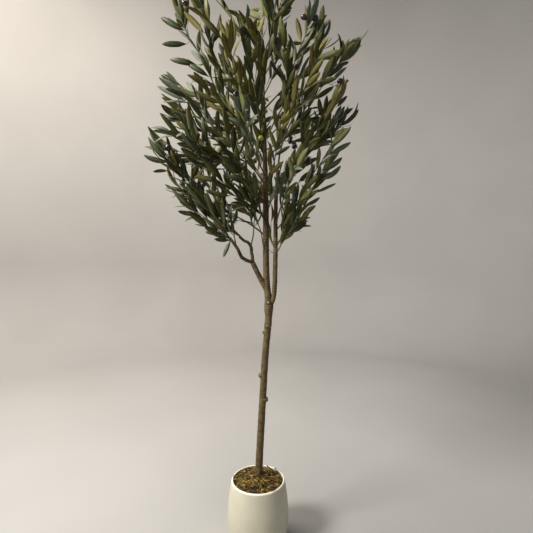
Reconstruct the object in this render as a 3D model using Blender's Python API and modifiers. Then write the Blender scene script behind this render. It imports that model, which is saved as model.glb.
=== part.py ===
"""An artificial olive tree in a round pot: a wrapped pole of a trunk, a second stem and a forked
bough, and a crown of leafy sprays. Metres, +Z up, with the origin under the middle of the pot."""

import collections
import math
import random

import bmesh
import bpy
from mathutils import Matrix, Quaternion, Vector
from mathutils.geometry import intersect_point_line

SEED = 7
GAP = 0.0003
UP = Vector((0.0, 0.0, 1.0))

# Pot
POT_HEIGHT = 0.195
RIM_RADIUS = 0.084
BELLY_RADIUS = 0.096
BELLY_HEIGHT = 0.085
FOOT_RADIUS = 0.081
FOOT_ROUND = 0.006
POT_WALL = 0.005
POT_FLOOR = 0.009
POT_STEPS = 32
SIDE_RINGS = 6
LIP_STEPS = 4

# What the pot holds
FILLING_TOP = 0.160
MOSS_EDGE_HEIGHT = 0.184
MOSS_DOME = 0.011
MOSS_BUMP = 0.002
MOSS_RINGS = 4
SOCKET_BOTTOM = 0.070
FACET_ROOM = 0.0012

# Trunk, from its flat cut in the filling to its tip in the crown
TRUNK_SIDES = 10
LIMB_SIDES = 8
RING_SPACING = 0.055
TRUNK_COURSE = (
    (-0.001, 0.012, SOCKET_BOTTOM),
    (0.003, 0.012, 0.235),
    (0.014, 0.010, 0.440),
    (0.023, 0.010, 0.590),
    (0.034, 0.012, 0.730),
    (0.026, 0.014, 0.850),
    (0.024, 0.014, 1.100),
    (0.017, 0.012, 1.400),
    (0.012, 0.010, 1.620),
)
TRUNK_RADII = (0.0150, 0.0120, 0.0114, 0.0113, 0.0118, 0.0103, 0.0096, 0.0054, 0.0036)
FORK_SWELL = (0.0365, 0.012, 0.742)
FORK_SWELL_RADIUS = 0.0150
JOINT_HEIGHT = 0.681
JOINT_RADIUS = 0.0132
JOINT_LENGTH = 0.010
KNOT_SIDES = 7
KNOT_FLARE = 1.4
KNOT_LIFT = 0.35
KNOTS = (
    # height, azimuth in degrees, radius, how far it stands out of the bark
    (0.441, -8.0, 0.0062, 0.0060),
    (0.517, 172.0, 0.0055, 0.0065),
    (0.655, 184.0, 0.0040, 0.0045),
)

# The other limbs: course, radii from foot to tip, and the limb that carries each
LIMBS = {
    "right_stem": (
        ((0.037, 0.012, 0.742), (0.051, 0.010, 0.785), (0.055, 0.004, 0.900), (0.056, 0.000, 1.050),
         (0.062, -0.004, 1.180)),
        (0.0090, 0.0080, 0.0078, 0.0066, 0.0052),
        "trunk",
    ),
    "left_bough": (
        ((0.028, 0.014, 0.794), (0.004, 0.010, 0.838), (-0.020, 0.006, 0.888)),
        (0.0092, 0.0086, 0.0080),
        "trunk",
    ),
    "left_outer_branch": (
        ((-0.018, 0.006, 0.884), (-0.046, -0.006, 0.902), (-0.068, -0.018, 0.930), (-0.093, -0.030, 0.966)),
        (0.0062, 0.0058, 0.0052, 0.0046),
        "left_bough",
    ),
    "left_upper_branch": (
        ((-0.017, 0.007, 0.882), (-0.018, 0.016, 0.915), (-0.034, 0.028, 0.948), (-0.062, 0.046, 0.972)),
        (0.0060, 0.0054, 0.0050, 0.0044),
        "left_bough",
    ),
}

# Crown outline: height, and how far the leaves reach to the left, to the right, and to front and back
CROWN = (
    (0.89, 0.12, 0.08, 0.10),
    (1.00, 0.22, 0.18, 0.20),
    (1.10, 0.31, 0.25, 0.27),
    (1.22, 0.38, 0.30, 0.32),
    (1.42, 0.35, 0.32, 0.33),
    (1.60, 0.34, 0.33, 0.32),
    (1.72, 0.27, 0.26, 0.25),
    (1.83, 0.08, 0.08, 0.08),
)
CROWN_AXIS = (0.020, 0.010)

# Sprays: those that grow on from a limb's tip, then a spiral of them up the trunk
TIP_SPRAYS = (
    # limb, azimuth in degrees, height of the spray's tip
    ("left_outer_branch", 196.0, 1.16),
    ("left_upper_branch", 140.0, 1.26),
    ("right_stem", 330.0, 1.45),
    ("trunk", 90.0, 1.76),
)
SPIRAL_SPRAYS = 19
SPIRAL_FOOT = 0.935
SPIRAL_HEAD = 1.545
SPIRAL_START = 20.0
GOLDEN_ANGLE = 137.5
RISE_AT_FOOT = 0.08
RISE_AT_HEAD = 0.21
RISE_GROWTH = 3.0
STEM_ARCH = 0.14
STEM_RADIUS = 0.0030
STEM_RINGS = 5
# Within this angle of the second stem, seen from the trunk, a spray grows from that stem
SECOND_STEM_ANGLE = 42.0
DODGE_ANGLE = 9.0

# Side twigs, by their place along the stem
TWIG_PLACES = (0.24, 0.42, 0.60, 0.78)
TWIG_SHARE = 0.50
TWIG_SPLAY = 40.0
TWIG_LIFT = 0.20
TWIG_RADIUS = 0.0021
TWIG_RINGS = 2

# Leaves, in pairs that turn a quarter from one pair to the next
LEAF_LENGTH = 0.102
LEAF_WIDTH = 0.027
LEAF_THICKNESS = 0.0016
LEAF_MIDDLE = 0.46
LEAF_SPLAY = 40.0
LEAF_LIFT = 0.22
LEAF_STEP = 0.036
PAIR_OFFSET = 0.005
LEAF_SINK = 0.0003
BARE_FOOT = 0.028
BARE_STEM = 0.075
# How far a leaf keeps from other leaves and twigs, from this share of its length on
LEAF_ROOM = 0.008
LEAF_ROOM_FROM = 0.35

# Fruit
OLIVE_LENGTH = 0.021
OLIVE_RADIUS = 0.0085
OLIVE_PLACE = 0.55
OLIVE_EVERY = 2

SPACE_MARGIN = 0.0030
LIMB_ROOM = 0.0030

COLOURS = {
    # base colour, roughness
    "pot_glaze": ((0.72, 0.68, 0.55), 0.55),
    "filling": ((0.35, 0.33, 0.30), 0.90),
    "moss": ((0.20, 0.13, 0.045), 0.95),
    "bark": ((0.14, 0.098, 0.055), 0.85),
    "leaves": ((0.055, 0.085, 0.045), 0.55),
}

Limb = collections.namedtuple("Limb", "course radii cutters")
Spray = collections.namedtuple("Spray", "name limb stem length")


def clear_scene():
    for item in list(bpy.data.objects):
        bpy.data.objects.remove(item, do_unlink=True)


def new_collection(name, hidden=False):
    made = bpy.data.collections.new(name)
    bpy.context.scene.collection.children.link(made)
    made.hide_render = hidden
    return made


def material(name):
    colour, roughness = COLOURS[name]
    made = bpy.data.materials.get(name) or bpy.data.materials.new(name)
    made.use_nodes = True
    shader = made.node_tree.nodes["Principled BSDF"]
    shader.inputs["Base Color"].default_value = (*colour, 1.0)
    shader.inputs["Roughness"].default_value = roughness
    shader.inputs["Metallic"].default_value = 0.0
    return made


def object_of(shape, name, group, finish=None):
    """The closed bmesh as an object, with its normals facing out."""
    bmesh.ops.recalc_face_normals(shape, faces=shape.faces)
    if shape.calc_volume(signed=True) < 0:
        bmesh.ops.reverse_faces(shape, faces=shape.faces)
    mesh = bpy.data.meshes.new(name)
    shape.to_mesh(mesh)
    shape.free()
    made = bpy.data.objects.new(name, mesh)
    group.objects.link(made)
    if finish:
        mesh.materials.append(material(finish))
    return made


def joined(base, others, cutters, name, group, finish):
    """One solid from a base object and the objects fused to it, cut clear of the cutters."""
    pieces = new_collection(name + "_pieces", hidden=True)
    for other in others:
        pieces.objects.link(other)
    if others:
        fuse = base.modifiers.new("fuse", "BOOLEAN")
        fuse.operation = "UNION"
        fuse.operand_type = "COLLECTION"
        fuse.collection = pieces
        fuse.solver = "EXACT"
    for cutter in cutters:
        clear = base.modifiers.new("clear", "BOOLEAN")
        clear.operation = "DIFFERENCE"
        clear.object = cutter
        clear.solver = "EXACT"
    graph = bpy.context.evaluated_depsgraph_get()
    mesh = bpy.data.meshes.new_from_object(base.evaluated_get(graph))
    for spent in (base, *others):
        bpy.data.objects.remove(spent, do_unlink=True)
    bpy.data.collections.remove(pieces)
    mesh.name = name
    mesh.materials.clear()
    mesh.materials.append(material(finish))
    made = bpy.data.objects.new(name, mesh)
    group.objects.link(made)
    return made


def smooth_course(points, spacing):
    """Points about that far apart on a Catmull-Rom curve through the given ones.
    Each comes with its place on the curve as a share."""
    knots = [Vector(p) for p in points]
    knots = [2 * knots[0] - knots[1], *knots, 2 * knots[-1] - knots[-2]]
    course = []
    for i in range(1, len(knots) - 2):
        before, start, end, after = knots[i - 1:i + 3]
        count = max(1, round((end - start).length / spacing))
        for step in range(count):
            t = step / count
            square = (2 * before - 5 * start + 4 * end - after) * t ** 2
            cube = (3 * start - before - 3 * end + after) * t ** 3
            point = 0.5 * (2 * start + (end - before) * t + square + cube)
            course.append((point, (i - 1 + t) / (len(points) - 1)))
    course.append((knots[-2], 1.0))
    return course


def at_share(values, share):
    """A value, or a point, read off an evenly spaced list."""
    place = min(max(share, 0.0), 1.0) * (len(values) - 1)
    low = min(int(place), len(values) - 2)
    return values[low] + (values[low + 1] - values[low]) * (place - low)


def ring_frames(course, radii):
    """For each point of the course, the matrix that puts a unit circle there, square to the course."""
    across = (course[1] - course[0]).orthogonal().normalized()
    frames = []
    for i, point in enumerate(course):
        along = (course[min(i + 1, len(course) - 1)] - course[max(i - 1, 0)]).normalized()
        across = (across - along * across.dot(along)).normalized()
        turned_to = Matrix((across * radii[i], along.cross(across) * radii[i], along)).transposed()
        frames.append(Matrix.Translation(point) @ turned_to.to_4x4())
    return frames


def extruded(shape, cap, is_foot):
    """The face that an end face grows into. The old one goes, unless it closes the foot."""
    grown = bmesh.ops.extrude_face_region(shape, geom=[cap])["geom"]
    if not is_foot:
        bmesh.ops.delete(shape, geom=[cap], context="FACES_ONLY")
    return next(item for item in grown if isinstance(item, bmesh.types.BMFace))


def tube(course, radii, sides):
    """A closed tapering tube: a capped ring, extruded from point to point along the course."""
    frames = ring_frames(course, radii)
    shape = bmesh.new()
    bmesh.ops.create_circle(shape, cap_ends=True, segments=sides, radius=1.0, matrix=frames[0])
    cap = next(iter(shape.faces))
    for i, (before, after) in enumerate(zip(frames, frames[1:])):
        cap = extruded(shape, cap, is_foot=i == 0)
        bmesh.ops.transform(shape, matrix=after @ before.inverted(), verts=cap.verts)
    return shape


# Pot and what it holds

def side_radius(height):
    """The pot's outer radius: one curve from the belly up to the rim, and one down to the foot."""
    if height >= BELLY_HEIGHT:
        share = (height - BELLY_HEIGHT) / (POT_HEIGHT - BELLY_HEIGHT)
        return BELLY_RADIUS - (BELLY_RADIUS - RIM_RADIUS) * share ** 2
    share = (BELLY_HEIGHT - height) / BELLY_HEIGHT
    return BELLY_RADIUS - (BELLY_RADIUS - FOOT_RADIUS) * share ** 2


def turned(profile, name, group, finish):
    """A solid turned about Z from a profile of radii and heights that starts and ends on the axis."""
    shape = bmesh.new()
    verts = [shape.verts.new((radius, 0.0, height)) for radius, height in profile]
    for start, end in zip(verts, verts[1:]):
        shape.edges.new((start, end))
    mesh = bpy.data.meshes.new(name)
    shape.to_mesh(mesh)
    shape.free()
    made = bpy.data.objects.new(name, mesh)
    group.objects.link(made)
    mesh.materials.append(material(finish))
    screw = made.modifiers.new("turn", "SCREW")
    screw.steps = POT_STEPS
    screw.render_steps = POT_STEPS
    screw.use_merge_vertices = True
    screw.merge_threshold = 0.00001
    return made


def wall_heights(top, bottom, count):
    return [top + (bottom - top) * i / count for i in range(count + 1)]


def make_pot(group):
    """The pot's wall and floor, with a rounded lip."""
    round_from = POT_HEIGHT - POT_WALL / 2
    inner = [(side_radius(z) - POT_WALL, z) for z in wall_heights(POT_FLOOR, round_from, SIDE_RINGS // 2)]
    outer = [(side_radius(z), z) for z in wall_heights(round_from, FOOT_ROUND, SIDE_RINGS)]
    quarters = [math.pi * i / LIP_STEPS for i in range(LIP_STEPS - 1, 0, -1)]
    lip = [(RIM_RADIUS + POT_WALL / 2 * (math.cos(turn) - 1), round_from + POT_WALL / 2 * math.sin(turn))
           for turn in quarters]
    shoulder = FOOT_ROUND * (1 - math.sqrt(0.5))
    foot = [(FOOT_RADIUS - shoulder, shoulder), (FOOT_RADIUS - FOOT_ROUND, 0.0), (0.0, 0.0)]
    turned([(0.0, POT_FLOOR), *inner, *lip, *outer, *foot], "pot", group, "pot_glaze")


def make_filling(group, socket):
    """The heavy plug that the trunk is set in, from the pot's floor up to under the moss."""
    rings = wall_heights(FILLING_TOP, POT_FLOOR + GAP, SIDE_RINGS // 2)
    # The inner wall's facets cut inside its curve, so the plug keeps more than the gap off that.
    side = [(side_radius(z) - POT_WALL - FACET_ROOM, z) for z in rings]
    plug = turned([(0.0, FILLING_TOP), *side, (0.0, POT_FLOOR + GAP)], "plug", group, "filling")
    joined(plug, [], socket, "pot_filling", group, "filling")


def make_moss(group, socket):
    """A low uneven dome of wood wool on the filling, as wide as the mouth of the pot."""
    draw = random.Random(SEED)
    foot = FILLING_TOP + GAP
    radius = RIM_RADIUS - POT_WALL - 2 * GAP
    shape = bmesh.new()
    bmesh.ops.create_circle(shape, cap_ends=True, segments=POT_STEPS, radius=radius,
                            matrix=Matrix.Translation((0, 0, foot)))
    cap = extruded(shape, next(iter(shape.faces)), is_foot=True)
    bmesh.ops.translate(shape, vec=(0, 0, MOSS_EDGE_HEIGHT - foot), verts=cap.verts)
    for _ in range(MOSS_RINGS):
        bmesh.ops.inset_individual(shape, faces=[cap], thickness=radius / (MOSS_RINGS + 1))
        for vert in cap.verts:
            inward = 1 - vert.co.xy.length / radius
            dome = MOSS_DOME * math.sin(inward * math.pi / 2)
            vert.co.z = MOSS_EDGE_HEIGHT + dome + draw.uniform(0, MOSS_BUMP)
    bmesh.ops.poke(shape, faces=[cap])
    joined(object_of(shape, "dome", group), [], socket, "moss_topping", group, "moss")


# Limbs

def cutter_of(shape, name, cutters):
    made = object_of(shape, name, cutters)
    made.hide_render = True
    made.display_type = "WIRE"
    return made


def fork_swell(grown):
    """The thick place where the trunk divides."""
    shape = bmesh.new()
    bmesh.ops.create_icosphere(shape, subdivisions=1, radius=FORK_SWELL_RADIUS + grown,
                               matrix=Matrix.Translation(FORK_SWELL))
    return shape


def limb_of(points, radii, sides, name, cutters):
    """The limb's course and radii, and a tube a little thicker and longer, to cut what touches it clear."""
    placed = smooth_course(points, RING_SPACING)
    course = [point for point, _ in placed]
    widths = [at_share(radii, share) for _, share in placed]
    longer = list(course)
    longer[0] = course[0] + (course[0] - course[1]).normalized() * GAP
    longer[-1] = course[-1] + (course[-1] - course[-2]).normalized() * GAP
    # A tube's flats lie inside its radius, so the growth is measured on them.
    grow = GAP / math.cos(math.pi / sides)
    shape = tube(longer, [width + grow for width in widths], sides)
    return Limb(course, widths, [cutter_of(shape, name + "_clearance", cutters)])


def knot(course, height, azimuth, radius, stand_out, group):
    """The stub of a cut branch, standing out of the trunk's side."""
    centre = min(course, key=lambda point: abs(point.z - height))
    out = (direction_of(azimuth) + UP * KNOT_LIFT).normalized()
    length = TRUNK_RADII[1] + stand_out
    foot = Vector((centre.x, centre.y, height))
    shape = bmesh.new()
    place = Matrix.Translation(foot + out * length / 2) @ UP.rotation_difference(out).to_matrix().to_4x4()
    bmesh.ops.create_cone(shape, cap_ends=True, segments=KNOT_SIDES, radius1=radius * KNOT_FLARE,
                          radius2=radius, depth=length, matrix=place)
    return object_of(shape, "knot", group)


def make_trunk(group, cutters):
    limb = limb_of(TRUNK_COURSE, TRUNK_RADII, TRUNK_SIDES, "trunk", cutters)
    spare = new_collection("trunk_details", hidden=True)
    details = [knot(limb.course, *values, spare) for values in KNOTS]
    details.append(object_of(fork_swell(0.0), "fork_swell", spare))
    limb.cutters.append(cutter_of(fork_swell(2 * GAP), "fork_clearance", cutters))
    ring = bmesh.new()
    middle = min(limb.course, key=lambda point: abs(point.z - JOINT_HEIGHT))
    bmesh.ops.create_cone(ring, cap_ends=True, segments=TRUNK_SIDES, radius1=JOINT_RADIUS,
                          radius2=JOINT_RADIUS, depth=JOINT_LENGTH,
                          matrix=Matrix.Translation((middle.x, middle.y, JOINT_HEIGHT)))
    details.append(object_of(ring, "joint_ring", spare))
    pole = object_of(tube(limb.course, limb.radii, TRUNK_SIDES), "pole", group)
    joined(pole, details, [], "trunk", group, "bark")
    bpy.data.collections.remove(spare)
    return limb


def make_limbs(group, cutters):
    """The trunk and every other limb, each cut clear of the one that carries it."""
    limbs = {"trunk": make_trunk(group, cutters)}
    carriers = {name: carrier for name, (_, _, carrier) in LIMBS.items()}
    for name, (points, radii, carrier) in LIMBS.items():
        # Where two limbs leave the same one, the second is also cut clear of the first.
        beside = [limb for other, limb in limbs.items() if carrier in (other, carriers.get(other))]
        limbs[name] = limb_of(points, radii, LIMB_SIDES, name, cutters)
        base = object_of(tube(limbs[name].course, limbs[name].radii, LIMB_SIDES), name + "_base", group)
        joined(base, [], [cutter for limb in beside for cutter in limb.cutters], name, group, "bark")
    return limbs


# Spaces: which points belong to a spray

def off_course(point, course):
    """The distance from a point to a course."""
    shortest = math.inf
    for start, end in zip(course, course[1:]):
        nearest, share = intersect_point_line(point, start, end)
        nearest = start if share < 0 else end if share > 1 else nearest
        shortest = min(shortest, (point - nearest).length)
    return shortest


def reach(height, azimuth):
    """How far the leaves reach from the crown's axis at a height, on an ellipse of its side and its depth."""
    if height >= CROWN[-1][0] or height <= CROWN[0][0]:
        return 0.0
    low, high = next((a, b) for a, b in zip(CROWN, CROWN[1:]) if a[0] <= height <= b[0])
    share = (height - low[0]) / (high[0] - low[0])
    left, right, deep = (low[i] + (high[i] - low[i]) * share for i in (1, 2, 3))
    side = right if math.cos(azimuth) > 0 else left
    return 1 / math.hypot(math.cos(azimuth) / side, math.sin(azimuth) / deep)


def in_crown(point):
    east, north = point.x - CROWN_AXIS[0], point.y - CROWN_AXIS[1]
    return math.hypot(east, north) <= reach(point.z, math.atan2(north, east))


def clear_of_limbs(point, limbs, room):
    for limb in limbs:
        for start, end, radius in zip(limb.course, limb.course[1:], limb.radii):
            if abs(point.z - start.z) < 2 * RING_SPACING and off_course(point, (start, end)) < radius + room:
                return False
    return True


def in_space(point, spray, sprays, limbs):
    """Whether a point lies in the crown, nearer to its own stem than to any other, and off every limb."""
    if not in_crown(point):
        return False
    own = off_course(point, spray.stem) + SPACE_MARGIN
    if any(off_course(point, other.stem) < own for other in sprays if other is not spray):
        return False
    return clear_of_limbs(point, limbs.values(), LIMB_ROOM)


# Sprays

def direction_of(azimuth):
    return Vector((math.cos(math.radians(azimuth)), math.sin(math.radians(azimuth)), 0.0))


def stem_course(root, lead, azimuth, tip_height):
    """A stem from its root to just inside the crown's outline, on one curve that leads off the given way."""
    away = direction_of(azimuth)
    out = reach(tip_height, math.radians(azimuth)) - LEAF_LENGTH * math.cos(math.radians(LEAF_SPLAY))
    tip = Vector((*CROWN_AXIS, 0.0)) + away * max(out, 0.0) + UP * tip_height
    length = (tip - root).length
    bend = root + lead.normalized() * length * 0.5 if lead else (root + tip) / 2 + UP * length * STEM_ARCH
    shares = [i / STEM_RINGS for i in range(STEM_RINGS + 1)]
    return [root * (1 - t) ** 2 + bend * 2 * t * (1 - t) + tip * t ** 2 for t in shares]


def at_height(limb, height):
    """The point on a limb's axis at a height."""
    low, high = next((a, b) for a, b in zip(limb.course, limb.course[1:]) if a.z <= height <= b.z)
    return low.lerp(high, (height - low.z) / (high.z - low.z))


def plan_sprays(limbs):
    sprays = []
    for limb, azimuth, tip_height in TIP_SPRAYS:
        course = limbs[limb].course
        lead = course[-1] - course[-2]
        stem = stem_course(course[-1] - lead.normalized() * STEM_RADIUS, lead, azimuth, tip_height)
        sprays.append(Spray("foliage_on_" + limb, limb, stem, (stem[-1] - stem[0]).length))
    for i in range(SPIRAL_SPRAYS):
        share = i / (SPIRAL_SPRAYS - 1)
        height = SPIRAL_FOOT + (SPIRAL_HEAD - SPIRAL_FOOT) * share
        azimuth = SPIRAL_START + GOLDEN_ANGLE * i
        rise = RISE_AT_FOOT + (RISE_AT_HEAD - RISE_AT_FOOT) * min(1.0, share * RISE_GROWTH)
        carrier = "trunk"
        root = at_height(limbs["trunk"], height)
        if height < limbs["right_stem"].course[-1].z - RING_SPACING:
            other = at_height(limbs["right_stem"], height)
            if direction_of(azimuth).angle(other - root) < math.radians(SECOND_STEM_ANGLE):
                carrier, root = "right_stem", other
        others = [limb for name, limb in limbs.items() if name != carrier]
        stem = stem_course(root, None, azimuth, height + rise)
        while not all(clear_of_limbs(root.lerp(stem[2], t / 8), others, 3 * STEM_RADIUS) for t in range(9)):
            azimuth += DODGE_ANGLE
            stem = stem_course(root, None, azimuth, height + rise)
        sprays.append(Spray(f"foliage_{i + 1:02d}", carrier, stem, (stem[-1] - stem[0]).length))
    return sprays


def side_direction(along, turn):
    """A direction square to another one, turned about it."""
    start = along.cross(UP).normalized()
    return Quaternion(along, math.radians(turn)) @ start


def twig_course(spray, place, turn):
    """A side twig from its place on the stem, bending up a little towards its tip."""
    root = at_share(spray.stem, place)
    along = (at_share(spray.stem, place + 0.05) - at_share(spray.stem, place - 0.05)).normalized()
    splay = math.radians(TWIG_SPLAY)
    way = (along * math.cos(splay) + side_direction(along, turn) * math.sin(splay)).normalized()
    length = spray.length * TWIG_SHARE * (1.2 - place)
    shares = [i / TWIG_RINGS for i in range(TWIG_RINGS + 1)]
    return [root + way * length * t + UP * length * TWIG_LIFT * t ** 2 for t in shares]


def leaf(root, along, normal, length, group):
    """A blade of eight faces: an octahedron whose corners go to the root, margins, keel and tip."""
    half_width, half_thick = LEAF_WIDTH / 2, LEAF_THICKNESS / 2
    middle = length * LEAF_MIDDLE
    corners = {
        (0, 0, 1): (0, 0, half_thick),
        (-1, 0, 0): (0, 0, -half_thick),
        (0, 1, 0): (half_width, middle, 2 * half_thick),
        (0, -1, 0): (-half_width, middle, 2 * half_thick),
        (1, 0, 0): (0, middle, 3 * half_thick),
        (0, 0, -1): (0, length, 0),
    }
    shape = bmesh.new()
    bmesh.ops.create_uvsphere(shape, u_segments=4, v_segments=2, radius=1.0)
    turned_to = Matrix((along.cross(normal), along, normal)).transposed()
    place = Matrix.Translation(root - along * LEAF_SINK) @ turned_to.to_4x4()
    for vert in shape.verts:
        vert.co = place @ Vector(corners[tuple(round(c) for c in vert.co)])
    return object_of(shape, "leaf", group)


def leaf_samples(root, along, normal, length):
    """Points on a leaf's midrib and margins."""
    across = along.cross(normal) * LEAF_WIDTH / 2
    rib = [root + along * length * t for t in (0.25, 0.45, 0.6, 0.8, 1.0)]
    return rib + [rib[1] + across, rib[1] - across, rib[2] + across * 0.8, rib[2] - across * 0.8]


def leaf_places(course, first, turn):
    """Places for the pairs of leaves along a twig and the one at its tip: share, turn and splay."""
    length = sum((b - a).length for a, b in zip(course, course[1:]))
    places = []
    while first < length - LEAF_STEP / 3:
        places.append((first / length, turn, LEAF_SPLAY))
        places.append(((first + PAIR_OFFSET) / length, turn + 180, LEAF_SPLAY))
        turn += 90
        first += LEAF_STEP
    return places + [(1 - TWIG_RADIUS / length, turn, 0.0)]


def leaves_on(course, first, turn, taken, belongs, draw, group):
    """The leaves of a twig that stay in the spray's space and off what is there already."""
    made = []
    for place, about, splay in leaf_places(course, first, turn):
        root = at_share(course, place)
        along = (at_share(course, place + 0.02) - at_share(course, place - 0.02)).normalized()
        splay = math.radians(splay * draw.uniform(0.8, 1.2))
        way = along * math.cos(splay) + side_direction(along, about) * math.sin(splay) + UP * LEAF_LIFT
        way.normalize()
        normal = (along - way * along.dot(way)).normalized()
        length = LEAF_LENGTH * draw.uniform(0.85, 1.08)
        others = [line for line in taken if line is not course]
        if all(belongs(point) and all(off_course(point, line) > LEAF_ROOM for line in others)
               for point in leaf_samples(root, way, normal, length)):
            made.append(leaf(root, way, normal, length, group))
            taken.append([root + way * length * LEAF_ROOM_FROM, root + way * length])
    return made


def olive(course, group):
    """A fruit fused to the underside of a twig."""
    shape = bmesh.new()
    hang = at_share(course, OLIVE_PLACE) - UP * OLIVE_LENGTH * 0.46
    sizes = Matrix.Diagonal((OLIVE_RADIUS, OLIVE_RADIUS, OLIVE_LENGTH / 2, 1.0))
    bmesh.ops.create_uvsphere(shape, u_segments=6, v_segments=4, radius=1.0,
                              matrix=Matrix.Translation(hang) @ sizes)
    return object_of(shape, "olive", group)


def make_spray(number, spray, sprays, limbs, group):
    """One mass of foliage: a stem, its side twigs and their leaves in one solid, clear of its limb."""

    def belongs(point):
        return in_space(point, spray, sprays, limbs)

    draw = random.Random(SEED + number)
    spare = new_collection("spare", hidden=True)
    radii = [STEM_RADIUS + (TWIG_RADIUS - STEM_RADIUS) * i / STEM_RINGS for i in range(STEM_RINGS + 1)]
    stem = object_of(tube(spray.stem, radii, 3), "stem", spare)
    courses = []
    turn = draw.uniform(0, 360)
    for place in TWIG_PLACES:
        turn += GOLDEN_ANGLE
        course = twig_course(spray, place, turn)
        while len(course) > 1 and not belongs(course[-1]):
            course.pop()
        if len(course) > 1:
            courses.append(course)
    made = [object_of(tube(course, [TWIG_RADIUS] * len(course), 3), "twig", spare) for course in courses]
    taken = [spray.stem, *courses]
    for course in courses:
        made += leaves_on(course, BARE_FOOT, draw.uniform(0, 180), taken, belongs, draw, spare)
    made += leaves_on(spray.stem, BARE_STEM, draw.uniform(0, 180), taken, belongs, draw, spare)
    if number % OLIVE_EVERY and courses:
        hung = courses[len(courses) // 2]
        low = at_share(hung, OLIVE_PLACE) - UP * OLIVE_LENGTH
        if all(belongs(low + direction_of(azimuth) * OLIVE_RADIUS) for azimuth in (0, 90, 180, 270)):
            made.append(olive(hung, spare))
    joined(stem, made, limbs[spray.limb].cutters, spray.name, group, "leaves")
    bpy.data.collections.remove(spare)


def main():
    clear_scene()
    tree = new_collection("potted_olive_tree")
    cutters = new_collection("cutters", hidden=True)
    limbs = make_limbs(tree, cutters)
    make_pot(tree)
    make_filling(tree, limbs["trunk"].cutters)
    make_moss(tree, limbs["trunk"].cutters)
    sprays = plan_sprays(limbs)
    for number, spray in enumerate(sprays):
        make_spray(number, spray, sprays, limbs, tree)


main()
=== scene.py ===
"""Looks of the artificial olive tree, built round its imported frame: a glazed pot with wood wool,
limbs wrapped in ridged bark, and a crown of twigs, leaves and olives. Metres, +Z up."""

import collections
import math
import random

import bmesh
import bpy
import numpy as np
from mathutils import Matrix, Quaternion, Vector, noise
from mathutils.geometry import intersect_point_line


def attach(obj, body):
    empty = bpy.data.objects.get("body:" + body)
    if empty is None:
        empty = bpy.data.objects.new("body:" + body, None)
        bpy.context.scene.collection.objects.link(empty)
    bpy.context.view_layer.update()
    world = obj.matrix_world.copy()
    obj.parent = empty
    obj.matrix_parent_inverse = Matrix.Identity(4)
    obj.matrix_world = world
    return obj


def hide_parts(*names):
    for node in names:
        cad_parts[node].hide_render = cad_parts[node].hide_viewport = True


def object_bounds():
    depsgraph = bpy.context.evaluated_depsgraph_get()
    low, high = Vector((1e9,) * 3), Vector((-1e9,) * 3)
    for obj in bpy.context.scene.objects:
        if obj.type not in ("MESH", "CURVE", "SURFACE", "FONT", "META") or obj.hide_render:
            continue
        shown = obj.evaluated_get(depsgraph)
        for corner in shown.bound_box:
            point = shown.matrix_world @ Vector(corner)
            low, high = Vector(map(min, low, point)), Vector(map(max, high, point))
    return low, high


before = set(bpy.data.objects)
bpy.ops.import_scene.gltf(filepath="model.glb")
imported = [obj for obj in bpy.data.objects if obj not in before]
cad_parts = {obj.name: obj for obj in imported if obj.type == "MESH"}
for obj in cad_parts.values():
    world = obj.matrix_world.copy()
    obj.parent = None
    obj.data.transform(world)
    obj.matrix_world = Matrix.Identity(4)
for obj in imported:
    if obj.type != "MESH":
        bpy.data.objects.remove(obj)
frame_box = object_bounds()

SEED = 7
UP = Vector((0.0, 0.0, 1.0))
FRONT = Vector((0.0, -1.0, 0.0))

# Camera, level with the middle of the tree, and the photograph's scale
CAMERA_PLACE = Vector((0.0266, -1.19, 0.871))
CAMERA_LENS = 25.2
SENSOR_WIDTH = 36.0
PHOTO_SIDE = 533
FOCAL_PIXELS = CAMERA_LENS / SENSOR_WIDTH * PHOTO_SIDE

# Pot, as in the source
POT_HEIGHT = 0.195
RIM_RADIUS = 0.084
BELLY_RADIUS = 0.096
BELLY_HEIGHT = 0.085
FOOT_RADIUS = 0.081
FOOT_ROUND = 0.006
POT_WALL = 0.005
POT_FLOOR = 0.009
POT_STEPS = 128
SIDE_RINGS = 28
LIP_STEPS = 8
# How far below the lip's round the painted highlight on the lip fades out
LIP_HIGHLIGHT_FADE = 0.0025
FOOT_STEPS = 4

# Wood wool on the filling
FILLING_TOP = 0.160
WOOL_EDGE_HEIGHT = 0.1875
WOOL_DOME = 0.008
WOOL_MOUND = 0.007
WOOL_MOUND_SPREAD = 0.022
TRUNK_FOOT = (0.001, 0.012)
BED_RINGS = 16
BED_STEPS = 72
BED_UNEVEN = 0.0035
BED_GRAIN = 90.0
BED_SINK = 0.004
WOOL_SAMPLES = 16
# A shaving's bend in degrees, its rise and its wave, and how far it is sunk, tipped and rolled
WOOL_SWEEPS = (60, 260)
WOOL_RISES = (-0.002, 0.003)
WOOL_WAVES = (0.0004, 0.0016)
WOOL_SINK = 0.002
WOOL_TIP = 0.5
WOOL_ROLL = 0.7
WOOL_REACH = 0.955
WOOL_POINTS = 8
WOOL_KINDS = (
    # how many, half the width, half the thickness, length, furthest lift
    (620, (0.0012, 0.0021), 0.00060, (0.011, 0.021), 0.0045),
    (200, (0.0007, 0.0011), 0.00045, (0.014, 0.024), 0.0045),
)
# The dark tone is painted shade and the gold tone a painted highlight on the shavings; the brown and olive
# tones are the wool's own colours
WOOL_TONES = {
    # darker, lighter, and how common
    "dark": ((0.022, 0.011, 0.002), (0.060, 0.031, 0.006), 0.30),
    "brown": ((0.140, 0.078, 0.014), (0.260, 0.150, 0.030), 0.32),
    "olive": ((0.165, 0.118, 0.016), (0.250, 0.182, 0.028), 0.16),
    "gold": ((0.370, 0.235, 0.045), (0.640, 0.430, 0.120), 0.20),
}
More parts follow.
